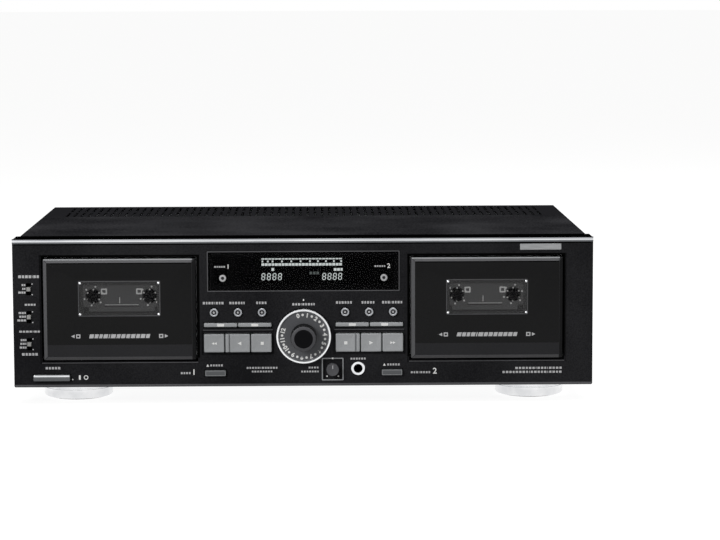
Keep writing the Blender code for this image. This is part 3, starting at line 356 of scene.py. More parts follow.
FINISHES = {
    # Spark-eroded black polystyrene: near black, with a soft broad sheen. Grain drawn at 0.9 mm so that it shows
    "panel_plastic": grained(
        "satin_black_polystyrene", ("#1d1d1f", "#303032"), 0.9, (0.62, 0.75), 0.02,
        # The top ledge, above 111.6 mm, turns near black: painted shade in the gap under the cover's edge
        fade=("#020202", ("Z", 111.6, 111.9)), **{"Specular IOR Level": 0.05, "IOR": 1.0},
    ),
    # Acrylonitrile butadiene styrene, moulded smooth and a shade lighter than the panel
    "door_plastic": grained("smooth_black_abs", ("#232325", "#29292b"), 1.2, (0.45, 0.55), 0.01, **SATIN),
    # The doors' bevels: the same moulding in a grey satin lighter than the door, a painted highlight, and darker on
    # each door's right side, painted shade
    **{
        "door_edge_" + side: grained(
            "grey_abs_painted_highlight_and_shade", ("#58585a", "#656567"), 1.0, (0.5, 0.6), 0.01,
            # From 2.9 mm inside the door's right edge the bevel turns dark: painted shade on the side away from the
            # light
            fade=("#2a2a2b", ("X", edge - 2.9, edge - 2.3)), **DEAD,
        )
        for side, edge in {"left": -80.9, "right": 194.5}.items()
    },
    # Matt black flock that swallows the light: the switches' dust shutters, and painted shadow round the doors, in
    # their gaps and under the top strip
    "felt": grained("black_flock_and_painted_shade", ("#040404", "#0a0a0a"), 0.8, (0.9, 1.0), 0.05, **{"IOR": 1.0}),
    # Acrylic sheet painted black behind: deep gloss with a faint cloudiness
    "smoked_lens": grained(
        "back_painted_acrylic", ("#09090a", "#0e0e0f"), 2.5, (0.10, 0.16), **{"Specular IOR Level": 0.12}
    ),
    # Brushed anodised aluminium: bright, with fine lines along the strip
    "trim_aluminium": grained(
        "brushed_aluminium", ("#c9cbce", "#e3e4e6"), 0.4, (0.22, 0.32), 0.01, (0.02, 1, 1), **METAL
    ),
    # The strip's shoulder and lower step: the same metal in darker greys, painted shade on the flanks of a rounded
    # strip; the satin grey also colours the function buttons' rings
    "trim_satin": grained(
        "satin_aluminium_and_painted_shade", ("#94969a", "#a8aaad"), 0.4, (0.35, 0.45), 0.01, (0.02, 1, 1), **METAL
    ),
    "trim_painted_shade": grained(
        "aluminium_painted_shade", ("#595b5e", "#6d6f72"), 0.4, (0.3, 0.4), 0.01, (0.02, 1, 1), **METAL
    ),
    # Baked textured enamel on sheet steel: dark grey, sandy and dull. Grain drawn at 1.6 mm so that it shows
    "cover_paint": grained(
        "textured_black_enamel", ("#151517", "#303032"), 1.6, (0.88, 0.96), 0.12,
        # The top turns darker between 186 and 187.5 mm deep and stays so to the rear
        fade=("#1c1c1e", ("Y", 186.0, 187.5), ("Z", 109.0, 110.0)), **{"IOR": 1.0},
    ),
    # Zinc-plated steel: cool grey with the plating's soft spangle
    "tray_steel": grained("zinc_plated_steel", ("#8b8e92", "#a7a9ab"), 6.0, (0.34, 0.5), 0.01, **METAL),
    "mechanism_steel": grained("bright_zinc_steel", ("#9a9c9f", "#b9babc"), 3.0, (0.28, 0.4), 0.01, **METAL),
    # Glass bulb of a fluorescent display, dark inside
    "display_glass": grained("display_bulb_glass", ("#040505", "#080909"), 8.0, (0.1, 0.15), **DEAD),
    # Moulded acetal: black and a little waxy
    "black_plastic": grained("moulded_black_acetal", ("#121214", "#1b1b1d"), 1.5, (0.45, 0.6), 0.02, **SATIN),
    # Nickel-chrome plate: mirror bright with faint smears of handling
    "chrome": grained("chrome_plate", ("#cfd1d4", "#e6e7e9"), 9.0, (0.06, 0.12), **METAL),
    "foot_chrome": grained("foot_chrome_plate", ("#dcdddf", "#f0f0f1"), 12.0, (0.10, 0.16), **METAL),
    # Contact pins of yellow brass, and screws with a dull dark gleam
    "brass": grained("bright_brass", ("#b8923a", "#d2ae56"), 2.0, (0.2, 0.3), **METAL),
    "steel_screw": grained("black_phosphated_steel", ("#242426", "#35363a"), 0.8, (0.35, 0.5), 0.02, **METAL),
    # Silver lacquer on moulded keys: a fine metal flake under a satin skin, turning darker from 24 mm down to 16 mm,
    # which makes the eject keys a darker grey
    "key_plastic": grained(
        "silver_lacquered_keys", ("#8e9092", "#9c9ea0"), 0.7, (0.36, 0.46), 0.01,
        fade=("#4c4e50", ("Z", 24.0, 16.0)), **{"Metallic": 0.3},
    ),
    # Buttons, knobs and switches: satin mouldings, each a step of grey apart
    "power_satin": grained("satin_lacquered_button", ("#636567", "#727476"), 0.7, (0.36, 0.46), 0.01, **SATIN),
    "button_plastic": grained("moulded_dark_buttons", ("#262628", "#303033"), 0.8, (0.4, 0.5), 0.01, **SATIN),
    "knob_grey": grained("moulded_grey_knob", ("#4c4c4f", "#5b5b5e"), 0.8, (0.4, 0.5), 0.01, **SATIN),
    "switch_grey": grained("light_grey_acetal", ("#9a9a98", "#acacaa"), 1.0, (0.4, 0.5), 0.01, **SATIN),
    "switch_plastic": grained("white_acetal", ("#c9c9c5", "#dadad6"), 1.0, (0.4, 0.5), 0.01),
    # Stacked sheets of core iron: their edges draw fine dark lines
    "laminations": grained(
        "stamped_core_iron", ("#3d3e41", "#6c6e72"), 0.6, (0.4, 0.55), 0.05, (0.05, 1, 0.05), **METAL
    ),
    "circuit_board": board("solder_masked_board", "#1c4a2a", "#2d6a3c", 2.5),
    # Screen-printed ink, matt and a little uneven where it lies thin. The silver line also paints highlights on the
    # doors and the eject keys, and the dim grey paints highlights on edges and ledges of the panel
    "white_ink": grained("white_ink", ("#ececea", "#fbfbfa"), 0.6, (0.6, 0.75)),
    "key_line": grained("silver_ink_and_painted_glint", ("#828486", "#949698"), 0.6, (0.4, 0.5)),
    # Grey of the rims round the doors' windows
    "edge_grey": grained("grey_window_rim", ("#4b4b4d", "#5b5b5d"), 1.2, (0.5, 0.6), 0.01, **SATIN),
    "grey_ink": grained("grey_ink", ("#b2b2b4", "#cccccd"), 0.6, (0.6, 0.75)),
    "dim_ink": grained("dim_grey_ink_and_painted_highlight", ("#515153", "#626265"), 0.6, (0.6, 0.75), **SATIN),
    # Foil of the bare badge: a soft grey gleam with fine upright lines
    "plate_foil": grained("satin_foil", ("#9c9ea0", "#bbbcbe"), 0.5, (0.35, 0.5), 0.0, (0.05, 1, 1)),
    # Natural rubber: dull black that takes up dust
    "rubber": grained("black_rubber", ("#131313", "#1e1e1e"), 0.8, (0.7, 0.85), 0.05, **DEAD),
    "red_plastic": grained("red_polypropylene", ("#8e1c1a", "#a52724"), 1.0, (0.35, 0.45), 0.01),
    # Mouldings inside the wells, each with a faint painted glow that brightens it behind the windows
    "well_grey": grained("grey_moulding_painted_glow", ("#1b1b1c", "#232325"), 1.6, (0.5, 0.6), 0.01, **lit(0.035)),
    "well_rim": grained("dark_moulding_painted_glow", ("#2b2b2d", "#353537"), 1.4, (0.5, 0.6), 0.01, **lit(0.045)),
    "well_mid": grained("mid_grey_moulding_painted_glow", ("#3b3b3d", "#474749"), 1.2, (0.5, 0.6), **lit(0.075)),
    "well_light": grained("white_acetal_painted_glow", ("#b9b9b6", "#d2d2cf"), 1.0, (0.4, 0.5), **lit(0.4)),
    # The dial: turned rings that catch the light, round an even anodised grey
    "dial_bright": spun("spun_bright_aluminium", ("#dcdddf", "#f2f3f4"), (0, 0, DIAL_LEVEL), 0.5, (0.16, 0.3)),
    "dial_dark": grained("grey_anodised_dial", ("#57585b", "#66676a"), 0.5, (0.4, 0.5), 0.01, **SATIN),
    "knob_dark": spun("spun_black_anodising", ("#0b0b0c", "#161618"), (0, 0, DIAL_LEVEL), 0.5, (0.35, 0.45)),
    # Anodes of the tube: pale where they are switched on; those that aren't are drawn with a faint painted glow
    "phosphor": glowing("lit_phosphor", "#eef2f1", 2.4),
    "dim_phosphor": glowing("dim_phosphor", "#8c9492", 0.5),
    # Panes: almost black over the display, clearer in the doors' windows
    "display_lens": see_through(
        "smoked_display_acrylic", ("#020203", "#050506"), 0.42, (0.06, 0.1), **{"Specular IOR Level": 0.05}
    ),
    "window_pane": see_through(
        "clear_window_acrylic", ("#08080a", "#0c0c0e"), 0.28, (0.05, 0.08), **{"Specular IOR Level": 0.2}
    ),
}

# The slots whose finish has another name than theirs
SLOT_FINISHES = {
    "dial_aluminium": "dial_bright",
    "switch_plastic": "switch_grey",
    "transformer_tape": "laminations",
}
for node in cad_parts.values():
    slot = node.data.materials[0].name
    for number in range(len(node.data.materials)):
        node.data.materials[number] = FINISHES[SLOT_FINISHES.get(slot, slot)]

on_panel = partial(make, body="deck", slot="panel_plastic")
in_well = partial(make, body="deck", slot="black_plastic")
on_tube = partial(make, body="deck", slot="display_glass")

PRINT = [(0, -INK), (0, SEAT)]
SQUARE = np.array([(-0.5, -0.5), (0.5, -0.5), (0.5, 0.5), (-0.5, 0.5)])
ARROW_RIGHT = np.array([(-0.5, -0.5), (0.5, 0.0), (-0.5, 0.5)])
ARROW_LEFT = np.array([(-0.5, 0.0), (0.5, -0.5), (0.5, 0.5)])
ARROW_UP = np.array([(-0.5, -0.5), (0.5, -0.5), (0.0, 0.5)])


def legend(x, depth, level, widths, height, gap=0.7, slant=0.0):
    """Row of small printed blocks about x, one per width, leaning by the slant: generic marks, not letters."""
    widths = np.array(widths, float)
    start = -(widths.sum() + gap * (len(widths) - 1)) / 2
    middle = start + np.cumsum(widths + gap) - gap - widths / 2
    outline = SQUARE * np.stack([widths, np.full(len(widths), height)], -1)[:, None]
    outline[..., 0] += slant * outline[..., 1] + middle[:, None]
    centres = np.tile((x, depth, level), (len(widths), 1))
    return stack(outline[:, None].repeat(2, 1), (-INK, SEAT), centres)


def mark(shape, size, *places):
    """Printed sign: the outline at its size in mm, as thick as ink, at each place."""
    return stack((size * shape)[None, None].repeat(2, 1), (-INK, SEAT), places)


# Top strip: a bright moulding over a darker step

PANEL_HALF = 217.5
TRIM_SECTIONS = {
    "crown": ("panel_plastic", [(0.88, 111.45), (0.88, 112.0), (0.0, 112.0), (-0.2, 111.92), (-0.4, 111.45)]),
    "moulding": (
        "trim_aluminium",
        [(0.9, 109.6), (0.9, 110.6), (-0.5, 110.6), (-0.58, 110.4), (-0.6, 110.1), (-0.58, 109.8), (-0.5, 109.6)],
    ),
    "shoulder": ("trim_satin", [(0.88, 110.6), (0.88, 111.45), (-0.4, 111.45), (-0.5, 110.6)]),
    "step": ("trim_painted_shade", [(0.02, 108.3), (0.02, 109.6), (-0.5, 109.6), (-0.42, 108.9), (-0.2, 108.4)]),
}
for part, (finish, section) in TRIM_SECTIONS.items():
    make(
        "trim_" + part, finish, "deck", "trim_aluminium",
        solids=[lengthwise(section, (-PANEL_HALF, PANEL_HALF))], stands_for={"moulding": "top_trim"}.get(part),
    )
# A dark line on the panel under the top strip: painted shadow
on_panel("trim_groove", "felt", solids=[plates([(0, 0, 107.8, 432.0, 1.0)], [(0.1, -0.03), (0, SEAT)], 0.2)])
# A lip along the panel's lower edge, its dim grey partly a painted highlight on that edge
LIP_SECTION = [(0.9, 0.02), (0.9, 0.9), (0.0, 2.0), (-0.12, 1.8), (-0.1, 0.7), (0.6, 0.02)]
on_panel("panel_foot_lip", "dim_ink", solids=[lengthwise(LIP_SECTION, (-216.9, 216.9))])

# Doors and wells

DOOR_X = {"left": -137.7, "right": 137.7}
DOOR_LEVEL = 58.85
LENS_FACE = -3.04
WINDOW = (60.2, 25.5)
WINDOW_LEVEL = 67.3
HUB_LEVEL = 66.5
HUB_SPACING = 42.5
VIEW = (55.4, 21.4)
VIEW_LEVEL = 65.7
DOOR_LEGEND_LEVEL = 39.0
GLINT_SECTION = [(-0.5, 96.9), (-1.35, 95.98), (-1.25, 95.88), (-0.4, 96.8)]
PAD_RADIUS, DOT_RADIUS = 4.95, 7.2
# Depths of the raised field behind a window, and of the lines on it
FIELD = [(0.3, 20.9), (0, 21.1), (0, 21.3)]
FIELD_LINE = [(0.1, 20.7), (0, 20.8), (0, 21.0)]

for side, door_x in DOOR_X.items():
    door = "door_" + side
    on_frame = partial(make, body=door, slot="door_plastic")
    on_lens = partial(make, body=door, slot="smoked_lens")
    outer = [
        plates([(door_x, 0, 63.4, 108.4, 61.8)], [(0.12, LENS_FACE), (0, -2.98), (0, -2.9)], 0.3),
        plates([(door_x, 0, 63.05, 106.3, 60.4)], [(0, -2.9), (0, -0.3)], 0.3),
    ]
    window = (door_x, 0, WINDOW_LEVEL, *WINDOW)
    inner = plates([window], [(0, -0.3), (0, LENS_FACE + 0.25), (-0.25, LENS_FACE)], 0.6)
    on_lens(
        "door_panel_" + side, "smoked_lens",
        hoops=[np.concatenate([*outer, inner], 1)], stands_for="door_lens_" + side,
    )
    bevel = np.array([
        (56.82, 38.07, 0.5, -0.43), (56.82, 38.07, 0.5, -0.3), (54.2, 35.4, 0.3, -2.8), (54.15, 35.4, 0.3, -3.05),
    ])
    on_frame(
        "door_bevel_" + side, "door_edge_" + side,
        hoops=[stack(rounded(*bevel[:, :3].T)[None], bevel[:, 3], (door_x, 0, DOOR_LEVEL))],
    )
    # A bright line along the top of the bevel: painted highlight
    on_frame(
        "door_glint_" + side, "key_line", solids=[lengthwise(GLINT_SECTION, (door_x - 56.4, door_x + 54.6))]
    )
    on_lens(
        "lens_shadow_" + side, "felt",
        solids=[plates([(door_x, 0, 93.85, 107.0, 0.7)], [(0, LENS_FACE - 0.03), (0, LENS_FACE + 0.05)], 0.1)],
    )
    # Dark lining in the gap round the door: painted shade
    on_frame(
        "door_seal_" + side, "felt",
        hoops=[window_frame((door_x, 0, DOOR_LEVEL), (113.9, 76.4), (113.55, 76.05), (0.5, 0.45), (0.3, 5.9))],
    )
    # Painted shadow strips on the panel round the door, wider above the door and on the side towards the middle
    inward = math.copysign(1, -door_x)
    on_panel(
        "well_surround_" + side, "felt",
        solids=[plates(
            [
                (door_x + inward * 0.6, 0, 98.85, 118.4, 1.3), (door_x + inward * 58.8, 0, 60.1, 2.0, 76.0),
                (door_x - inward * 58.2, 0, 60.1, 0.8, 76.0),
            ],
            [(0, -0.05), (0, SEAT)], 0.2,
        )],
    )
    # A grey line under the door: painted highlight where the well's lower edge catches the light
    on_panel(
        "well_sill_" + side, "dim_ink",
        solids=[plates([(door_x, 0, 18.4, 117.0, 0.6)], [(0.1, -0.12), (0, SEAT)], 0.1)],
    )
    on_lens("window_pane_" + side, "window_pane", solids=[plates([window], [(0.02, -2.3), (0.02, -1.0)], 0.6)])
    on_lens(
        "window_rim_" + side, "edge_grey",
        hoops=[window_frame((door_x, 0, WINDOW_LEVEL), (61.4, 26.7), (60.1, 25.4), (0.8, 0.6), (-3.26, -2.9), 0.1)],
    )
    on_lens(
        "window_pins_" + side, "chrome",
        solids=[turned(
            [(door_x + u * 29.4, 0, WINDOW_LEVEL + v * 11.8) for u in (-1, 1) for v in (-1, 1)],
            [(0.1, -3.4), (0.55, -3.3), (0.9, -3.0), (0.95, -2.0)],
            steps=20,
        )],
    )
    make(
        "well_bezel_" + side, "well_rim", door, "black_plastic",
        hoops=[
            np.concatenate([
                plates([(door_x, 0, 63.05, 99.6, 53.6)], [(0, 4.7), (0, 5.9)], 1.0),
                plates([(door_x, 0, VIEW_LEVEL, *VIEW)], [(0, 5.9), (0, 5.3), (-0.6, 4.7)], 1.2),
            ], 1)
        ],
    )
    # What shows behind the window: a grey moulding with a collar round each hub, sensors and lines
    spots = [(door_x + way * HUB_SPACING / 2, 0, HUB_LEVEL) for way in (-1, 1)]
    in_well(
        "well_backing_" + side, "well_grey",
        solids=[plates([(door_x, 0, 68.5, 91.0, 52.6)], [(0.3, 21.2), (0, 21.5), (0, 21.99)], 1.5)],
    )
    in_well(
        "well_field_" + side, "well_mid",
        solids=[
            plates([(door_x, 0, 66.9, 50.0, 15.8)], FIELD, 0.8),
            plates([(door_x, 0, 56.4, 50.0, 3.6)], FIELD, 0.6),
        ],
        hoops=[window_frame(spot, (17.0, 16.6), (12.4, 12.4), (1.2, 6.2), (20.4, 21.3), 0.3) for spot in spots],
    )
    dots = [
        (x + DOT_RADIUS * math.cos(turn), 0, level + DOT_RADIUS * math.sin(turn))
        for x, _, level in spots
        for turn in np.radians(60 * np.arange(6) + 18)
    ]
    in_well(
        "well_sensors_" + side, "well_light",
        solids=[
            plates([(door_x - 1.5, 0, 63.2, 0.5, 4.6)], FIELD_LINE, 0.2),
            plates([(door_x, 0, 59.7, 36.0, 0.35)], FIELD_LINE, 0.1),
            plates([(door_x, 0, 75.5, 38.0, 0.5)], [(0.1, 20.7), (0, 20.8), (0, 21.3)], 0.2),
            turned(dots, [(0.3, 19.9), (0.7, 20.05), (0.7, 20.4)], steps=10),
        ],
        hoops=[
            window_frame((door_x + way * 13.3, 0, 70.0), (4.6, 4.4), (2.6, 2.4), (0.6, 0.3), (19.6, 21.2), 0.2)
            for way in (-1, 1)
        ],
    )
    for hub, (x, _, level) in zip(("supply_hub_", "takeup_hub_"), spots):
        pads = [
            (x + PAD_RADIUS * math.cos(turn), 0, level + PAD_RADIUS * math.sin(turn), 1.1, 1.1)
            for turn in np.radians(60 * np.arange(6) + 30)
        ]
        make(
            hub + "pads_" + side, "well_light", hub + side, "switch_plastic",
            solids=[plates(pads, [(0.2, 19.2), (0, 19.4), (0, 19.8)], 0.3)],
        )
    on_lens(
        "door_legend_" + side, "grey_ink",
        solids=[
            legend(
                door_x, LENS_FACE, DOOR_LEGEND_LEVEL,
                (3.2, 2.8, 2.4, 3.2, 0.9, 3.6, 2.8, 3.0, 2.8, 3.2, 2.8, 3.2, 2.8), 3.0, 0.7, 0.25,
            ),
            mark(ARROW_LEFT, 2.6, (door_x - 35.0, LENS_FACE, DOOR_LEGEND_LEVEL)),
            mark(ARROW_RIGHT, 2.6, (door_x + 35.0, LENS_FACE, DOOR_LEGEND_LEVEL)),
        ],
        hoops=[
            window_frame(
                (door_x + way * 31.0, LENS_FACE, DOOR_LEGEND_LEVEL), (3.2, 3.0), (1.6, 1.4), (0.2, 0.1), (-INK, SEAT)
            )
            for way in (-1, 1)
        ],
    )

# Display

TUBE_FACE = 3.3
GLOW = [(0, -0.08), (0, SEAT)]


def segments(lefts, bottoms, width, height, lean=0.08):
    """Seven-segment figures: seven bars of a pen's width round two squares, leaning to the right."""
    pen, gap = 0.22 * width, 0.04 * width
    flat = np.array([(0, 1), (0, 0.5), (0, 0), (-0.5, 0.75), (0.5, 0.75), (-0.5, 0.25), (0.5, 0.25)])
    level = np.array([1, 1, 1, 0, 0, 0, 0], bool)[:, None]
    inner_w, inner_h = width - pen, (height - pen) / 2
    length = np.where(level, inner_w, inner_h) - 2 * gap
    bar = np.array([(-0.5, 0), (-0.5, 0), (0.5, 0), (0.5, 0), (0.5, 0), (-0.5, 0)])
    slope = np.array([(0.0, 0), (0.5, -0.5), (-0.5, -0.5), (0, 0), (-0.5, 0.5), (0.5, 0.5)])
    along = bar[None, :, 0] * length + slope[None, :, 0] * pen
    beside = np.repeat(slope[None, :, 1] * pen, 7, 0)
    u = np.where(level, along, beside) + flat[:, :1] * inner_w
    v = np.where(level, beside, along) + flat[:, 1:] * 2 * inner_h - inner_h
    # A bar that stands is walked the other way round, so it is turned back
    u = np.where(level, u, u[:, ::-1])
    v = np.where(level, v, v[:, ::-1])
    u = u + lean * v
    outline = np.stack([u, v], -1)
    spots = [(x + width / 2, TUBE_FACE, y + height / 2) for x, y in zip(lefts, bottoms)]
    outline = np.tile(outline, (len(spots), 1, 1))
    centres = np.repeat(np.array(spots), 7, 0)
    return stack(outline[:, None].repeat(2, 1), [depth for _, depth in GLOW], centres)


digit_x = [-31.4 + 4.15 * one for one in range(4)] + [14.2 + 4.0 * one for one in range(4)]
meter_x = -31.4 + 2.53 * np.arange(24)
scale_x = (-30.6, -26.6, -23, -16, -9, -2, 5, 11, 17, 23, 28.4)
on_tube("counter_digits", "phosphor", solids=[segments(digit_x, [79.9] * 8, 2.8, 5.3)])
on_tube(
    "level_meter", "phosphor",
    solids=[
        plates([(x + 1.1, TUBE_FACE, level, 2.15, 1.9) for x in meter_x for level in (96.4, 91.7)], GLOW, 0.1),
        plates([(x, TUBE_FACE, 94.05, 1.2, 1.4) for x in scale_x], GLOW, 0.1),
    ],
)
on_tube(
    "display_signs", "phosphor",
    solids=[plates(
        [
            (-22.9, TUBE_FACE, 88.0, 2.0, 2.2), (23.9, TUBE_FACE, 87.8, 2.1, 2.0),
            (26.4, TUBE_FACE, 87.8, 2.1, 2.0), (28.7, TUBE_FACE, 87.8, 1.6, 2.0),
        ],
        GLOW, 0.1,
    )],
)
on_tube(
    "display_dim_signs", "dim_phosphor",
    solids=[plates(
        [(x, TUBE_FACE, 85.2, 1.9, 2.0) for x in (5.6, 8.2, 10.8)]
        + [(-28.4 + 2.4 * one, TUBE_FACE, 76.6, 1.7, 0.7) for one in range(6)]
        + [(16.2 + 2.4 * one, TUBE_FACE, 76.6, 1.7, 0.7) for one in range(5)], GLOW, 0.1,
    )],
)
make(
    "display_rim", "dim_ink", "deck", "display_lens",
    hoops=[window_frame((0, 0, 86.95), (144.4, 30.5), (142.9, 29.0), (0.5, 0.4), (0.05, 0.3), 0.05)],
)
on_panel(
    "display_mask", "rubber",
    hoops=[
        np.concatenate([
            plates([(0, 0, 86.95, 112.0, 21.8)], [(0, 1.75), (0, 2.6)], 0.4),
            plates([(0, 0, 86.8, 104.0, 19.6)], [(0, 2.6), (0, 1.75)], 0.4),
        ], 1)
    ],
)
on_panel(
    "display_shade", "rubber",
    solids=[plates([(way * 62.2, 0, 87.0, 15.6, 24.0) for way in (-1, 1)], [(0, 11.6), (0, 11.98)], 0.4)],
)
DISPLAY_FACE = 0.2
make(
    "display_legends", "grey_ink", "deck", "display_lens",
    solids=[
        legend(-62.6, DISPLAY_FACE, 90.5, (1.2, 0.9, 1.3, 1.0, 1.2), 1.2, 0.6),
        legend(57.4, DISPLAY_FACE, 90.5, (1.3, 1.0, 1.2, 1.2, 0.9), 1.2, 0.6),
    ],
)
numerals(
    "display_deck_numbers", "white_ink", "deck",
    [("1", -56.3, DISPLAY_FACE - 0.05, 90.5, 3.2, 0), ("2", 64.0, DISPLAY_FACE - 0.05, 90.6, 3.4, 0)], 0.1, 0.08,
)

# Round buttons

BUTTONS = {1: -67.2, 2: -49.2, 3: -31.2, 4: 31.2, 5: 49.2, 6: 67.2}
BUTTON_LEVEL = 56.1
RESET_LEVEL = 81.9
for number, x in BUTTONS.items():
    node = "function_button_" + str(number)
    make(
        node + "_ring", "trim_satin", node, "button_plastic",
        hoops=[turned(
            [(x, 0, BUTTON_LEVEL)],
            [(2.75, -1.7), (3.15, -1.4), (3.29, -1.0), (3.29, -0.8), (1.9, -1.1), (1.85, -1.35), (2.2, -1.68)],
            steps=36,
        )],
    )
    make(
        node + "_dot", "grey_ink", node, "button_plastic",
        solids=[turned([(x, 0, BUTTON_LEVEL)], [(0.4, -1.22), (0.75, -1.16), (0.85, -1.05)], steps=16)],
    )
RESETS = {"left": -60.4, "right": 60.4}
for side, x in RESETS.items():
    node = "reset_button_" + side
    make(
        node + "_cap", "grey_ink", node, "button_plastic",
        hoops=[turned(
            [(x, 0, RESET_LEVEL)],
            [(2.1, -1.05), (2.45, -0.9), (2.62, -0.55), (2.62, -0.4), (1.2, -0.5), (1.2, -0.75), (1.5, -1.0)],
            steps=28,
        )],
    )

# Keys

KEY_EDGE = [(0.8, 0.0), (0.35, 0.1), (0.1, 0.3), (0.0, 0.6)]
# The large keys are dished for the finger: inset from the outline, and depth
KEY_DISH = 0.5
DISHED = [(5.0, KEY_DISH), (4.0, 0.46), (2.6, 0.3), (1.4, 0.1)]
LARGE_KEYS = {
    1: [(-74.7, -59.5)],
    2: [(-58.7, -55.9), (-55.3, -40.2)],
    3: [(-39.4, -24.1)],
    4: [(24.1, 38.9), (39.5, 42.2)],
    5: [(43.0, 58.4)],
    6: [(59.2, 74.7)],
}
SLIM_KEYS = {
    "left_outer": (-74.7, -49.8),
    "left_inner": (-49.0, -24.1),
    "right_inner": (24.1, 49.0),
    "right_outer": (49.8, 74.7),
}
EJECT_KEYS = {"left": (-74.2, -58.5), "right": (58.5, 74.2)}
LARGE_LEVEL, SLIM_LEVEL, EJECT_LEVEL = 33.05, 46.7, 10.3
LARGE_REACH, SLIM_REACH, EJECT_REACH = 2.6, 1.8, 2.2
KEY_TRAVEL, EJECT_TRAVEL = 1.5, 2.5
# Depths where a key's flange lies behind the panel, and where stems and shafts end before the board
FLANGE = (3.1, 4.1)
STEM_END = 11.4


def key_piece(node, spans, level, height, reach, travel):
    """A key: soft-edged caps, a flange behind the panel and a stem."""
    low, high = (corner.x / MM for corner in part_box(node))
    middle, width = (low + high) / 2, high - low - 0.4
    base = travel + 0.7
    faces = []
    for left, right in spans:
        dish = DISHED if min(right - left, height) > 2 * DISHED[0][0] + 1 else []
        faces.append(plates(
            [((left + right) / 2, 0, level, right - left, height)],
            [(inset, depth - reach) for inset, depth in dish + KEY_EDGE] + [(0, 1.8 - reach)], 0.7, 4,
        ))
    make(
        node + "_cap", "key_plastic", node, "key_plastic",
        solids=[
            *faces,
            plates([(middle, 0, level, width, height)], [(0, 1.75 - reach), (0, base)], 0.7),
            plates([(middle, 0, level, width, height)], [(-0.2, depth) for depth in FLANGE], 0.7),
            plates([(middle, 0, level, width / 2, height / 2)], [(0, base), (0, STEM_END - travel)], 0.5),
        ],
        stands_for=node,
    )


for number, spans in LARGE_KEYS.items():
    key_piece("large_key_" + str(number), spans, LARGE_LEVEL, 13.7, LARGE_REACH, KEY_TRAVEL)
for place, span in SLIM_KEYS.items():
    key_piece("slim_key_" + place, [span], SLIM_LEVEL, 3.0, SLIM_REACH, KEY_TRAVEL)
for side, span in EJECT_KEYS.items():
    key_piece("eject_button_" + side, [span], EJECT_LEVEL, 4.6, EJECT_REACH, EJECT_TRAVEL)
    # A silver outline round the eject key's face: painted highlight on its edge
    make(
        "eject_button_" + side + "_line", "key_line", "eject_button_" + side, "key_plastic",
        hoops=[window_frame((sum(span) / 2, 0, EJECT_LEVEL), (14.9, 3.9), (14.1, 3.1), (0.5, 0.2), (-2.24, -2.18))],
    )

LARGE_MARKS = {
    1: (-67.1, [(ARROW_LEFT, 2.0, -1.0), (ARROW_LEFT, 2.0, 0.9)]),
    2: (-48.2, [(ARROW_LEFT, 2.8, 0)]),
    3: (-31.1, [(SQUARE, 2.3, 0)]),
    4: (31.6, [(SQUARE, 2.3, 0)]),
    5: (50.7, [(ARROW_RIGHT, 2.8, 0)]),
    6: (67.0, [(ARROW_RIGHT, 2.0, -0.9), (ARROW_RIGHT, 2.0, 1.0)]),
}
for number, (x, shapes) in LARGE_MARKS.items():
    node = "large_key_" + str(number)
    make(
        node + "_sign", "white_ink", node, "key_plastic",
        solids=[mark(shape, size, (x + shift, KEY_DISH - LARGE_REACH, 32.9)) for shape, size, shift in shapes],
    )
SLIM_MARKS = {"left_outer": -62.2, "left_inner": -36.6, "right_inner": 36.6, "right_outer": 60.8}
for place, x in SLIM_MARKS.items():
    node = "slim_key_" + place
    make(
        node + "_sign", "white_ink", node, "key_plastic",
        solids=[plates([(x, -SLIM_REACH, SLIM_LEVEL, 5.2, 1.9)], PRINT, 0.3)],
    )
# Grey lines along the top of each row of large keys: painted highlight on the recess's edge
LEDGE = [(0.1, -0.3), (0, -0.1), (0, SEAT)]
on_panel(
    "key_ledges", "dim_ink", solids=[plates([(way * 49.4, 0, 42.75, 52.4, 0.6)], LEDGE, 0.2) for way in (-1, 1)]
)
POWER_X, POWER_LEVEL = -189.15, 7.4
POWER = (POWER_X, 0, POWER_LEVEL, 27.3, 4.6)
make(
    "power_button_cap", "power_satin", "power_button", "trim_aluminium",
    solids=[
        plates([POWER], [(0.5, -2.98), (0.12, -2.9), (0, -2.5), (0, 3.2)], 0.5, 4),
        plates([POWER], [(-0.2, 4.1), (-0.2, 5.1)], 0.5),
        plates([(POWER_X, 0, POWER_LEVEL, 13.6, 2.3)], [(0, 3.2), (0, 8.9)], 0.5),
    ],
    stands_for="power_button",
)
make(
    "power_button_edge", "chrome", "power_button", "trim_aluminium",
    solids=[plates([(POWER_X, 0, 8.85, 26.7, 1.3)], [(0.1, -3.0), (0, -2.95), (0, -2.5)], 0.3)],
)

# Level dial with its inner knob

DIAL = [(0, 0, DIAL_LEVEL)]
DIAL_FACE = -3.6
make(
    "dial_ring", "dial_bright", "level_dial", "dial_aluminium",
    hoops=[fluted(
        DIAL,
        [
            (19.7, -5.0, 0), (20.3, -4.85, 0), (20.6, -4.45, 0), (20.75, -4.2, 0.25), (20.75, 0.7, 0.25),
            (4.0, 0.7, 0), (4.0, STEM_END, 0), (2.5, STEM_END, 0), (2.5, DIAL_FACE, 0), (18.8, DIAL_FACE, 0),
            (18.95, -4.7, 0), (19.2, -5.0, 0),
        ],
        90, 540,
    )],
    stands_for="level_dial",
)
make(
    "dial_face", "dial_dark", "level_dial", "dial_aluminium",
    hoops=[turned(DIAL, [(18.75, DIAL_FACE - 0.1), (18.75, DIAL_FACE), (2.6, DIAL_FACE), (2.6, DIAL_FACE - 0.1)], steps=96)],
)
DIAL_MARKS = 25
NUMBER_RADIUS, TICK_RADIUS = 15.9, 16.2
spread = np.linspace(-105, 195, DIAL_MARKS)
words = []
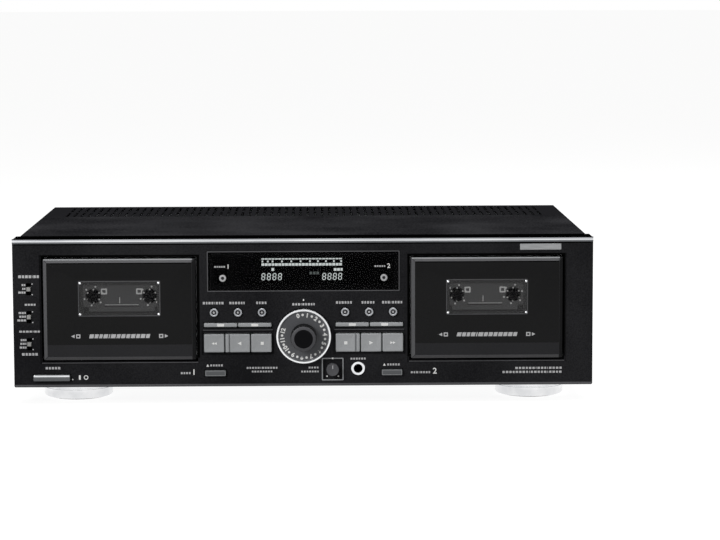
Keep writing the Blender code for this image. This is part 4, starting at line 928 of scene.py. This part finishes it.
for number, angle in enumerate(spread[::2]):
    way = math.radians(-angle)
    words.append((
        str(number), NUMBER_RADIUS * math.cos(way), DIAL_FACE - 0.12, DIAL_LEVEL + NUMBER_RADIUS * math.sin(way), 3.1,
        math.degrees(way) - 90,
    ))
numerals("dial_numbers", "white_ink", "level_dial", words, weight=0.2)
ticks = np.radians(-spread[1::2])
make(
    "dial_ticks", "white_ink", "level_dial", "dial_aluminium",
    solids=[turned(
        [(TICK_RADIUS * math.cos(one), 0, DIAL_LEVEL + TICK_RADIUS * math.sin(one)) for one in ticks],
        [(0.95, DIAL_FACE - 0.14), (0.95, DIAL_FACE - 0.05)],
        steps=12,
    )],
)
make(
    "knob_body", "knob_dark", "level_knob", "dial_aluminium",
    solids=[fluted(
        DIAL,
        [
            (6.85, -19.5, 0), (6.95, -19.25, 0), (9.1, -18.2, 0), (9.75, -17.2, 0.3), (9.75, -3.4, 0.3),
            (2.0, -3.3, 0), (2.0, STEM_END, 0),
        ],
        40, 240,
    )],
    stands_for="level_knob",
)
make(
    "knob_ring", "knob_grey", "level_knob", "dial_aluminium",
    hoops=[turned(
        DIAL, [(7.0, -19.48), (7.2, -19.5), (9.1, -18.6), (9.25, -18.3), (9.1, -18.1), (7.0, -19.15)], steps=72
    )],
)

# Pitch knob in its square, and headphone socket

PITCH = (21.7, 0, 12.8)
make(
    "pitch_knob_body", "knob_grey", "pitch_knob", "button_plastic",
    solids=[fluted(
        [PITCH],
        [
            (3.6, -5.85, 0), (4.1, -6.0, 0), (4.5, -5.8, 0), (4.7, -5.4, 0.25), (4.7, 1.2, 0.25), (1.5, 1.3, 0),
            (1.5, STEM_END, 0),
        ],
        28, 168,
    )],
    stands_for="pitch_knob",
)
make(
    "pitch_knob_line", "grey_ink", "pitch_knob", "button_plastic",
    solids=[plates([(PITCH[0], 0, PITCH[2] + 2.2, 0.6, 2.6)], [(0, -5.95), (0, -5.6)], 0.2)],
)
on_panel(
    "pitch_frame_line", "key_line",
    hoops=[window_frame(PITCH, (16.4, 17.2), (14.7, 15.5), (0.8, 0.5), (-0.56, -0.3), 0.05)],
)
JACK = [(40.8, 0, 13.3)]
in_well(
    "headphone_liner", "rubber",
    solids=[turned(JACK, [(3.38, 24.0), (3.38, 25.5)], steps=32)],
    hoops=[turned(JACK, [(3.3, -0.75), (3.39, -0.6), (3.39, 24.0), (3.1, 24.0), (3.1, -0.6)])],
)

# Printed legends on the panel

on_panel(
    "panel_legends", "grey_ink",
    solids=[
        legend(-67.7, 0, 63.2, (1.6, 1.2, 1.6, 1.4, 0.4, 1.6, 1.2, 1.6), 1.85),
        legend(-49.8, 0, 63.2, (1.6, 1.2, 1.6, 1.4, 1.2, 1.0), 1.85),
        legend(-31.6, 0, 63.2, (1.4, 1.2, 1.6, 1.4), 1.85),
        legend(30.3, 0, 63.2, (1.6, 1.2, 1.6, 1.4, 1.2, 1.4), 1.85),
        legend(48.4, 0, 63.2, (1.4, 1.2, 1.6, 1.4, 1.2), 1.85),
        legend(66.5, 0, 63.2, (1.6, 1.2, 1.6, 0.4, 1.4, 1.2, 1.6, 1.2), 1.85),
        legend(0, 0, 62.0, (1.6, 1.2, 1.6, 0.4, 1.4, 1.2, 1.6, 1.2, 1.0), 1.7),
        legend(-65.6, 0, 16.0, (1.4, 1.2, 1.4, 1.2, 1.4), 1.5),
        legend(67.4, 0, 16.0, (1.4, 1.2, 1.4, 1.2, 1.4), 1.5),
        legend(-31.4, 0, 14.0, (1.4, 1.2, 1.6, 1.2, 1.4, 0.4, 1.6, 1.2, 1.4, 1.2, 1.6, 1.2), 1.4),
        legend(-31.4, 0, 11.2, (1.2, 1.4, 1.2, 1.6, 1.2, 1.4, 1.2, 1.2), 1.3),
        legend(7.3, 0, 14.0, (1.4, 1.2, 1.4, 1.2), 1.3),
        legend(4.6, 0, 11.0, (1.2, 1.4, 1.2, 1.4, 1.2, 1.4, 1.0), 1.3),
        legend(40.8, 0, 20.6, (1.4, 1.2, 1.4, 1.2, 1.4, 1.2), 1.4),
        legend(-205.4, 0, 83.8, (2.1, 1.7, 2.1, 1.9, 0.4, 1.9, 1.7), 2.1, 0.6),
        legend(-204.6, 0, 62.7, (1.8, 1.6, 1.8, 1.4), 1.4, 0.5),
        legend(-205.4, 0, 42.4, (2.1, 1.7, 2.1, 1.9, 0.4, 1.9, 1.7), 1.4, 0.6),
        legend(-205.4, 0, 25.2, (2.0, 1.6, 2.0, 1.6, 1.8), 1.9),
        legend(-188.3, 0, 14.6, (1.7, 1.5, 1.7, 1.5, 1.8), 1.8),
        legend(-88.8, 0, 10.3, (1.4, 1.2, 1.4, 1.2), 1.5),
        legend(87.8, 0, 10.0, (1.4, 1.2, 1.4, 0.4, 1.4, 1.2, 1.4, 1.2), 1.5),
        legend(
            176.8, 0, 12.8,
            (1.9, 1.7, 1.9, 1.5, 1.9, 1.7, 0.5, 1.9, 1.7, 1.4, 0.5, 1.9, 1.7, 1.9, 1.7), 1.6, 0.8,
        ),
        legend(
            171.9, 0, 9.8,
            (1.7, 1.9, 1.7, 1.4, 1.9, 1.7, 1.9, 1.4, 0.5, 1.7, 1.9, 1.7, 1.4, 1.9, 0.5, 1.7, 1.9, 1.4, 1.9), 1.6, 0.8,
        ),
    ],
)
SWITCH_X = -205.6
SWITCH_LEVELS = {"upper": 74.3, "middle": 53.3, "lower": 32.8}
# The widths of three rows of blocks by each switch, which end at the same place on the right
SWITCH_ROWS = {
    "upper": ((1.4, 1.0), (1.0, 1.0), (2.0, 1.4, 1.2)),
    "middle": ((2.0, 1.4, 1.2), (1.6, 1.4, 1.2), (2.2, 1.8, 1.6)),
    "lower": ((1.4, 1.2, 0.8), (1.6, 1.4, 0.8), (1.8, 1.4, 1.0)),
}
ROWS_END, ROWS_GAP = -207.9, 0.4
switch_rows = []
for place, level in SWITCH_LEVELS.items():
    for step, widths in zip((3.2, 0.4, -2.4), SWITCH_ROWS[place]):
        long = sum(widths) + ROWS_GAP * (len(widths) - 1)
        switch_rows.append(legend(ROWS_END - long / 2, 0, level + step, widths, 1.5, ROWS_GAP))
    switch_rows.append(plates([(-202.9, 0, level + way * 4.0, 0.9, 0.9) for way in (-1, 1)], PRINT, 0.2))
on_panel("switch_legends", "grey_ink", solids=switch_rows)
for place, level in SWITCH_LEVELS.items():
    # Dust shutter on the slider, longer than its slot by the travel at each end
    make(
        "switch_shutter_" + place, "felt", "mode_switch_" + place, "panel_plastic",
        solids=[plates([(SWITCH_X, 0, level, 5.2, 14.6)], [(0.1, 3.3), (0, 3.4), (0, 3.6)], 0.4)],
    )
on_panel(
    "panel_marks", "white_ink",
    solids=[
        mark(ARROW_UP, 2.0, (-72.2, 0, 16.1), (60.6, 0, 16.1)),
        plates(
            [(-168.3, 0, POWER_LEVEL, 1.4, 3.4), (0, 0, 65.2, 0.9, 1.4), (-173.6, 0, 5.9, 0.9, 0.9)], PRINT, 0.2
        ),
        plates([(21.7, 0, 21.0, 1.3, 1.1)], [(0, -0.62), (0, -0.4)], 0.2),
        plates([(17.4, 0, 7.1, 1.1, 1.1), (26.0, 0, 7.1, 1.1, 1.1)], [(0, 1.45), (0, 1.55)], 0.2),
    ],
    hoops=[turned([(-163.6, 0, POWER_LEVEL)], [(1.7, -INK), (1.7, SEAT), (1.1, SEAT), (1.1, -INK)], steps=24)],
)
numerals(
    "deck_numbers", "white_ink", "deck",
    [("1", -82.6, -0.03, 10.8, 4.2, 0), ("2", 98.6, -0.03, 10.8, 4.4, 0)], 0.08, 0.12,
)
make(
    "badge_plate", "plate_foil", "deck", "trim_aluminium",
    solids=[plates([(178.0, 0, 104.6, 31.0, 4.6)], [(0.15, -0.25), (0, -0.1), (0, 0.05)], 0.4)],
)

# Feet

FOOT_X, FOOT_HEIGHT = 173.0, 12.5
for row, depth in {"front": 42.0, "rear": 235.0}.items():
    for side, x in {"left": -FOOT_X, "right": FOOT_X}.items():
        name = "foot_" + row + "_" + side
        spot = [(x, depth, -FOOT_HEIGHT)]
        make(
            name + "_cup", "foot_chrome", "deck", "foot_chrome",
            solids=[turned(
                spot,
                [
                    (22.0, 0.7), (24.2, 0.7), (25.3, 1.1), (25.9, 2.0), (26.1, 7.6), (25.8, 7.9), (25.8, 8.4),
                    (26.2, 8.7), (26.5, 11.6), (26.2, 12.1), (25.5, 12.2),
                ],
                "below", 112,
            )],
            stands_for=name,
        )
        make(
            name + "_pad", "rubber", "deck", "foot_chrome",
            hoops=[turned(
                spot, [(21.4, 0.0), (22.0, 0.15), (22.2, 0.5), (22.2, 1.2), (13.0, 1.2), (13.0, 0.4), (13.6, 0.0)],
                "below", 72,
            )],
        )

# Sides and rear panel: screws, the cover's returns, jacks and inlet pins

CASE_HALF, SHEET_REAR = 213.8, 278.75
for side, way in {"right": 1, "left": -1}.items():
    spots = [(way * CASE_HALF, depth, 14.0) for depth in (62.0, 232.0)]
    make("cover_screws_" + side, "steel_screw", "deck", "cover_paint", solids=[screw_heads(spots, side, 3.6, 1.9)])
make(
    "cover_returns", "cover_paint", "deck", "cover_paint",
    solids=[plates(
        [(way * 208.2, 0, 56.0, 8.6, 106.0) for way in (-1, 1)], [(0.2, 276.2), (0, 276.4), (0, 277.1)], 0.5
    )],
)
INLET_X, INLET_LEVEL = -165.0, 35.0
JACKS_X, JACKS_LEVEL, JACK_STEP = 115.0, 50.0, 7.0
make(
    "rear_screws", "steel_screw", "deck", "tray_steel",
    solids=[screw_heads(
        [(x, SHEET_REAR, level) for x in (-203.0, 203.0) for level in (12.0, 100.0)]
        + [(x, SHEET_REAR, 103.0) for x in (-70.0, 70.0)]
        + [(x, SHEET_REAR, 10.0) for x in (-60.0, 60.0)]
        + [(INLET_X + way * 22.0, SHEET_REAR, INLET_LEVEL) for way in (-1, 1)]
        + [(JACKS_X + way * 21.0, SHEET_REAR, JACKS_LEVEL) for way in (-1, 1)], "rear",
    )],
)
JACK_REAR = 289.0
JACK_FINISHES = {"white": "switch_plastic", "red": "red_plastic"}
jack_spots = {
    colour: [(JACKS_X + way * JACK_STEP, JACK_REAR, JACKS_LEVEL + rise) for way in (-1, 1)]
    for colour, rise in {"white": JACK_STEP, "red": -JACK_STEP}.items()
}
make(
    "jack_shells", "chrome", "deck", "chrome",
    hoops=[turned(
        jack_spots["white"] + jack_spots["red"],
        [(3.9, 0.0), (4.14, 0.25), (4.14, 9.0), (4.05, 9.0), (4.05, 0.5), (3.3, 0.5), (3.3, 0.0)], "rear",
    )],
)
for colour, spots in jack_spots.items():
    make(
        "jack_insulators_" + colour, JACK_FINISHES[colour], "deck", "black_plastic",
        hoops=[
            turned(spots, [(3.28, 0.1), (3.28, 0.6), (1.62, 0.6), (1.62, 0.1)], "rear", 32),
            turned(spots, [(5.4, 8.1), (5.7, 8.4), (5.7, 9.3), (4.1, 9.3), (4.1, 8.1)], "rear"),
        ],
    )
make(
    "inlet_pins", "brass", "deck", "chrome",
    solids=[turned(
        [(INLET_X + way * 4.3, 278.9, INLET_LEVEL) for way in (-1, 1)],
        [(0.4, -0.05), (1.0, 0.05), (1.25, 0.5), (1.25, 9.8)], "rear", 24,
    )],
)

# Stage, lights and camera


def studio_floor():
    """Pale floor: a disc of rings whose radius grows by a constant factor."""
    radius = np.geomspace(0.05, 40.0, 14)
    ring = circle(radius, 64)
    ring = np.concatenate([ring, np.zeros(ring.shape[:2] + (1,))], -1).reshape(-1, 3)
    index = np.arange(len(radius) * 64).reshape(len(radius), 64)
    here, there = index[:-1], index[1:]
    faces = np.stack([here, there, np.roll(there, -1, 1), np.roll(here, -1, 1)], -1).reshape(-1, 4).tolist()
    mesh = bpy.data.meshes.new("studio_floor")
    mesh.from_pydata(ring.tolist(), [], faces + [index[0].tolist()])
    material, tree, place = blank("matt_white_floor")
    paper = add(tree, "TexNoise", {"Vector": place, "Scale": 90.0})
    tone = add(tree, "Mix", {0: paper.outputs["Fac"], 6: linear("#7c7c7b"), 7: linear("#828281")}, data_type="RGBA")
    matt = add(tree, "BsdfDiffuse", {"Color": tone.outputs[2]})
    glow = add(tree, "Emission", {"Color": linear("#ffffff"), "Strength": seen(tree, 0.9, 0.2)})
    close(material, add(tree, "AddShader", {0: matt.outputs[0], 1: glow.outputs[0]}))
    mesh.materials.append(material)
    floor = bpy.data.objects.new("studio_floor", mesh)
    bpy.context.scene.collection.objects.link(floor)


def seen(tree, shown, cast):
    """Shown where a camera, mirror or glass looks, cast for the light that falls on things."""
    path = add(tree, "LightPath").outputs
    sight = add(tree, "Math", {0: path["Is Camera Ray"], 1: path["Is Glossy Ray"]}, operation="MAXIMUM")
    sight = add(tree, "Math", {0: sight.outputs[0], 1: path["Is Transmission Ray"]}, operation="MAXIMUM")
    return add(tree, "MapRange", {"Value": sight.outputs[0], "To Min": cast, "To Max": shown}).outputs[0]


def studio_lamp(name, place, aim, size, power):
    """Soft rectangular lamp that looks from its place to its aim."""
    light = bpy.data.lights.new(name, "AREA")
    light.shape, light.size, light.size_y, light.energy = "RECTANGLE", *size, power
    lamp = bpy.data.objects.new(name, light)
    lamp.location = place
    lamp.rotation_euler = (Vector(aim) - Vector(place)).to_track_quat("-Z", "Y").to_euler()
    bpy.context.scene.collection.objects.link(lamp)


studio_floor()
world = bpy.data.worlds.new("studio")
world.use_nodes = True
world.node_tree.nodes.clear()
sky = add(world.node_tree, "Background", {"Color": linear("#ffffff"), "Strength": seen(world.node_tree, 1.0, 0.27)})
add(world.node_tree, "OutputWorld", {"Surface": sky.outputs[0]})
bpy.context.scene.world = world
studio_lamp("overhead_lamp", (0.0, 0.0, 1.6), (0, 0, 0.05), (1.6, 1.0), 22)
studio_lamp("side_lamp", (2.0, 1.0, 0.9), (0, 0, 0.05), (1.0, 0.8), 20)
studio_lamp("front_lamp", (-1.3, -1.6, 1.0), (0, -0.1, 0.06), (1.0, 0.8), 22)

# The camera's place, turns and lens are fitted to the photograph
camera = bpy.data.objects.new("camera", bpy.data.cameras.new("camera"))
camera.data.lens = 125.4
camera.data.sensor_width = 36.0
camera.data.clip_end = 200.0
camera.matrix_world = Matrix.Translation((0.0089, -2.00225, 0.3070)) @ (
    Matrix.Rotation(math.radians(-1.03), 4, "Z")
    @ Matrix.Rotation(math.radians(-6.32), 4, "X")
    @ Matrix.Rotation(math.radians(0.17), 4, "Y")
    @ Matrix.Rotation(math.radians(90), 4, "X")
)
bpy.context.scene.collection.objects.link(camera)
bpy.context.scene.camera = camera
bpy.context.scene.view_settings.view_transform = "Standard"
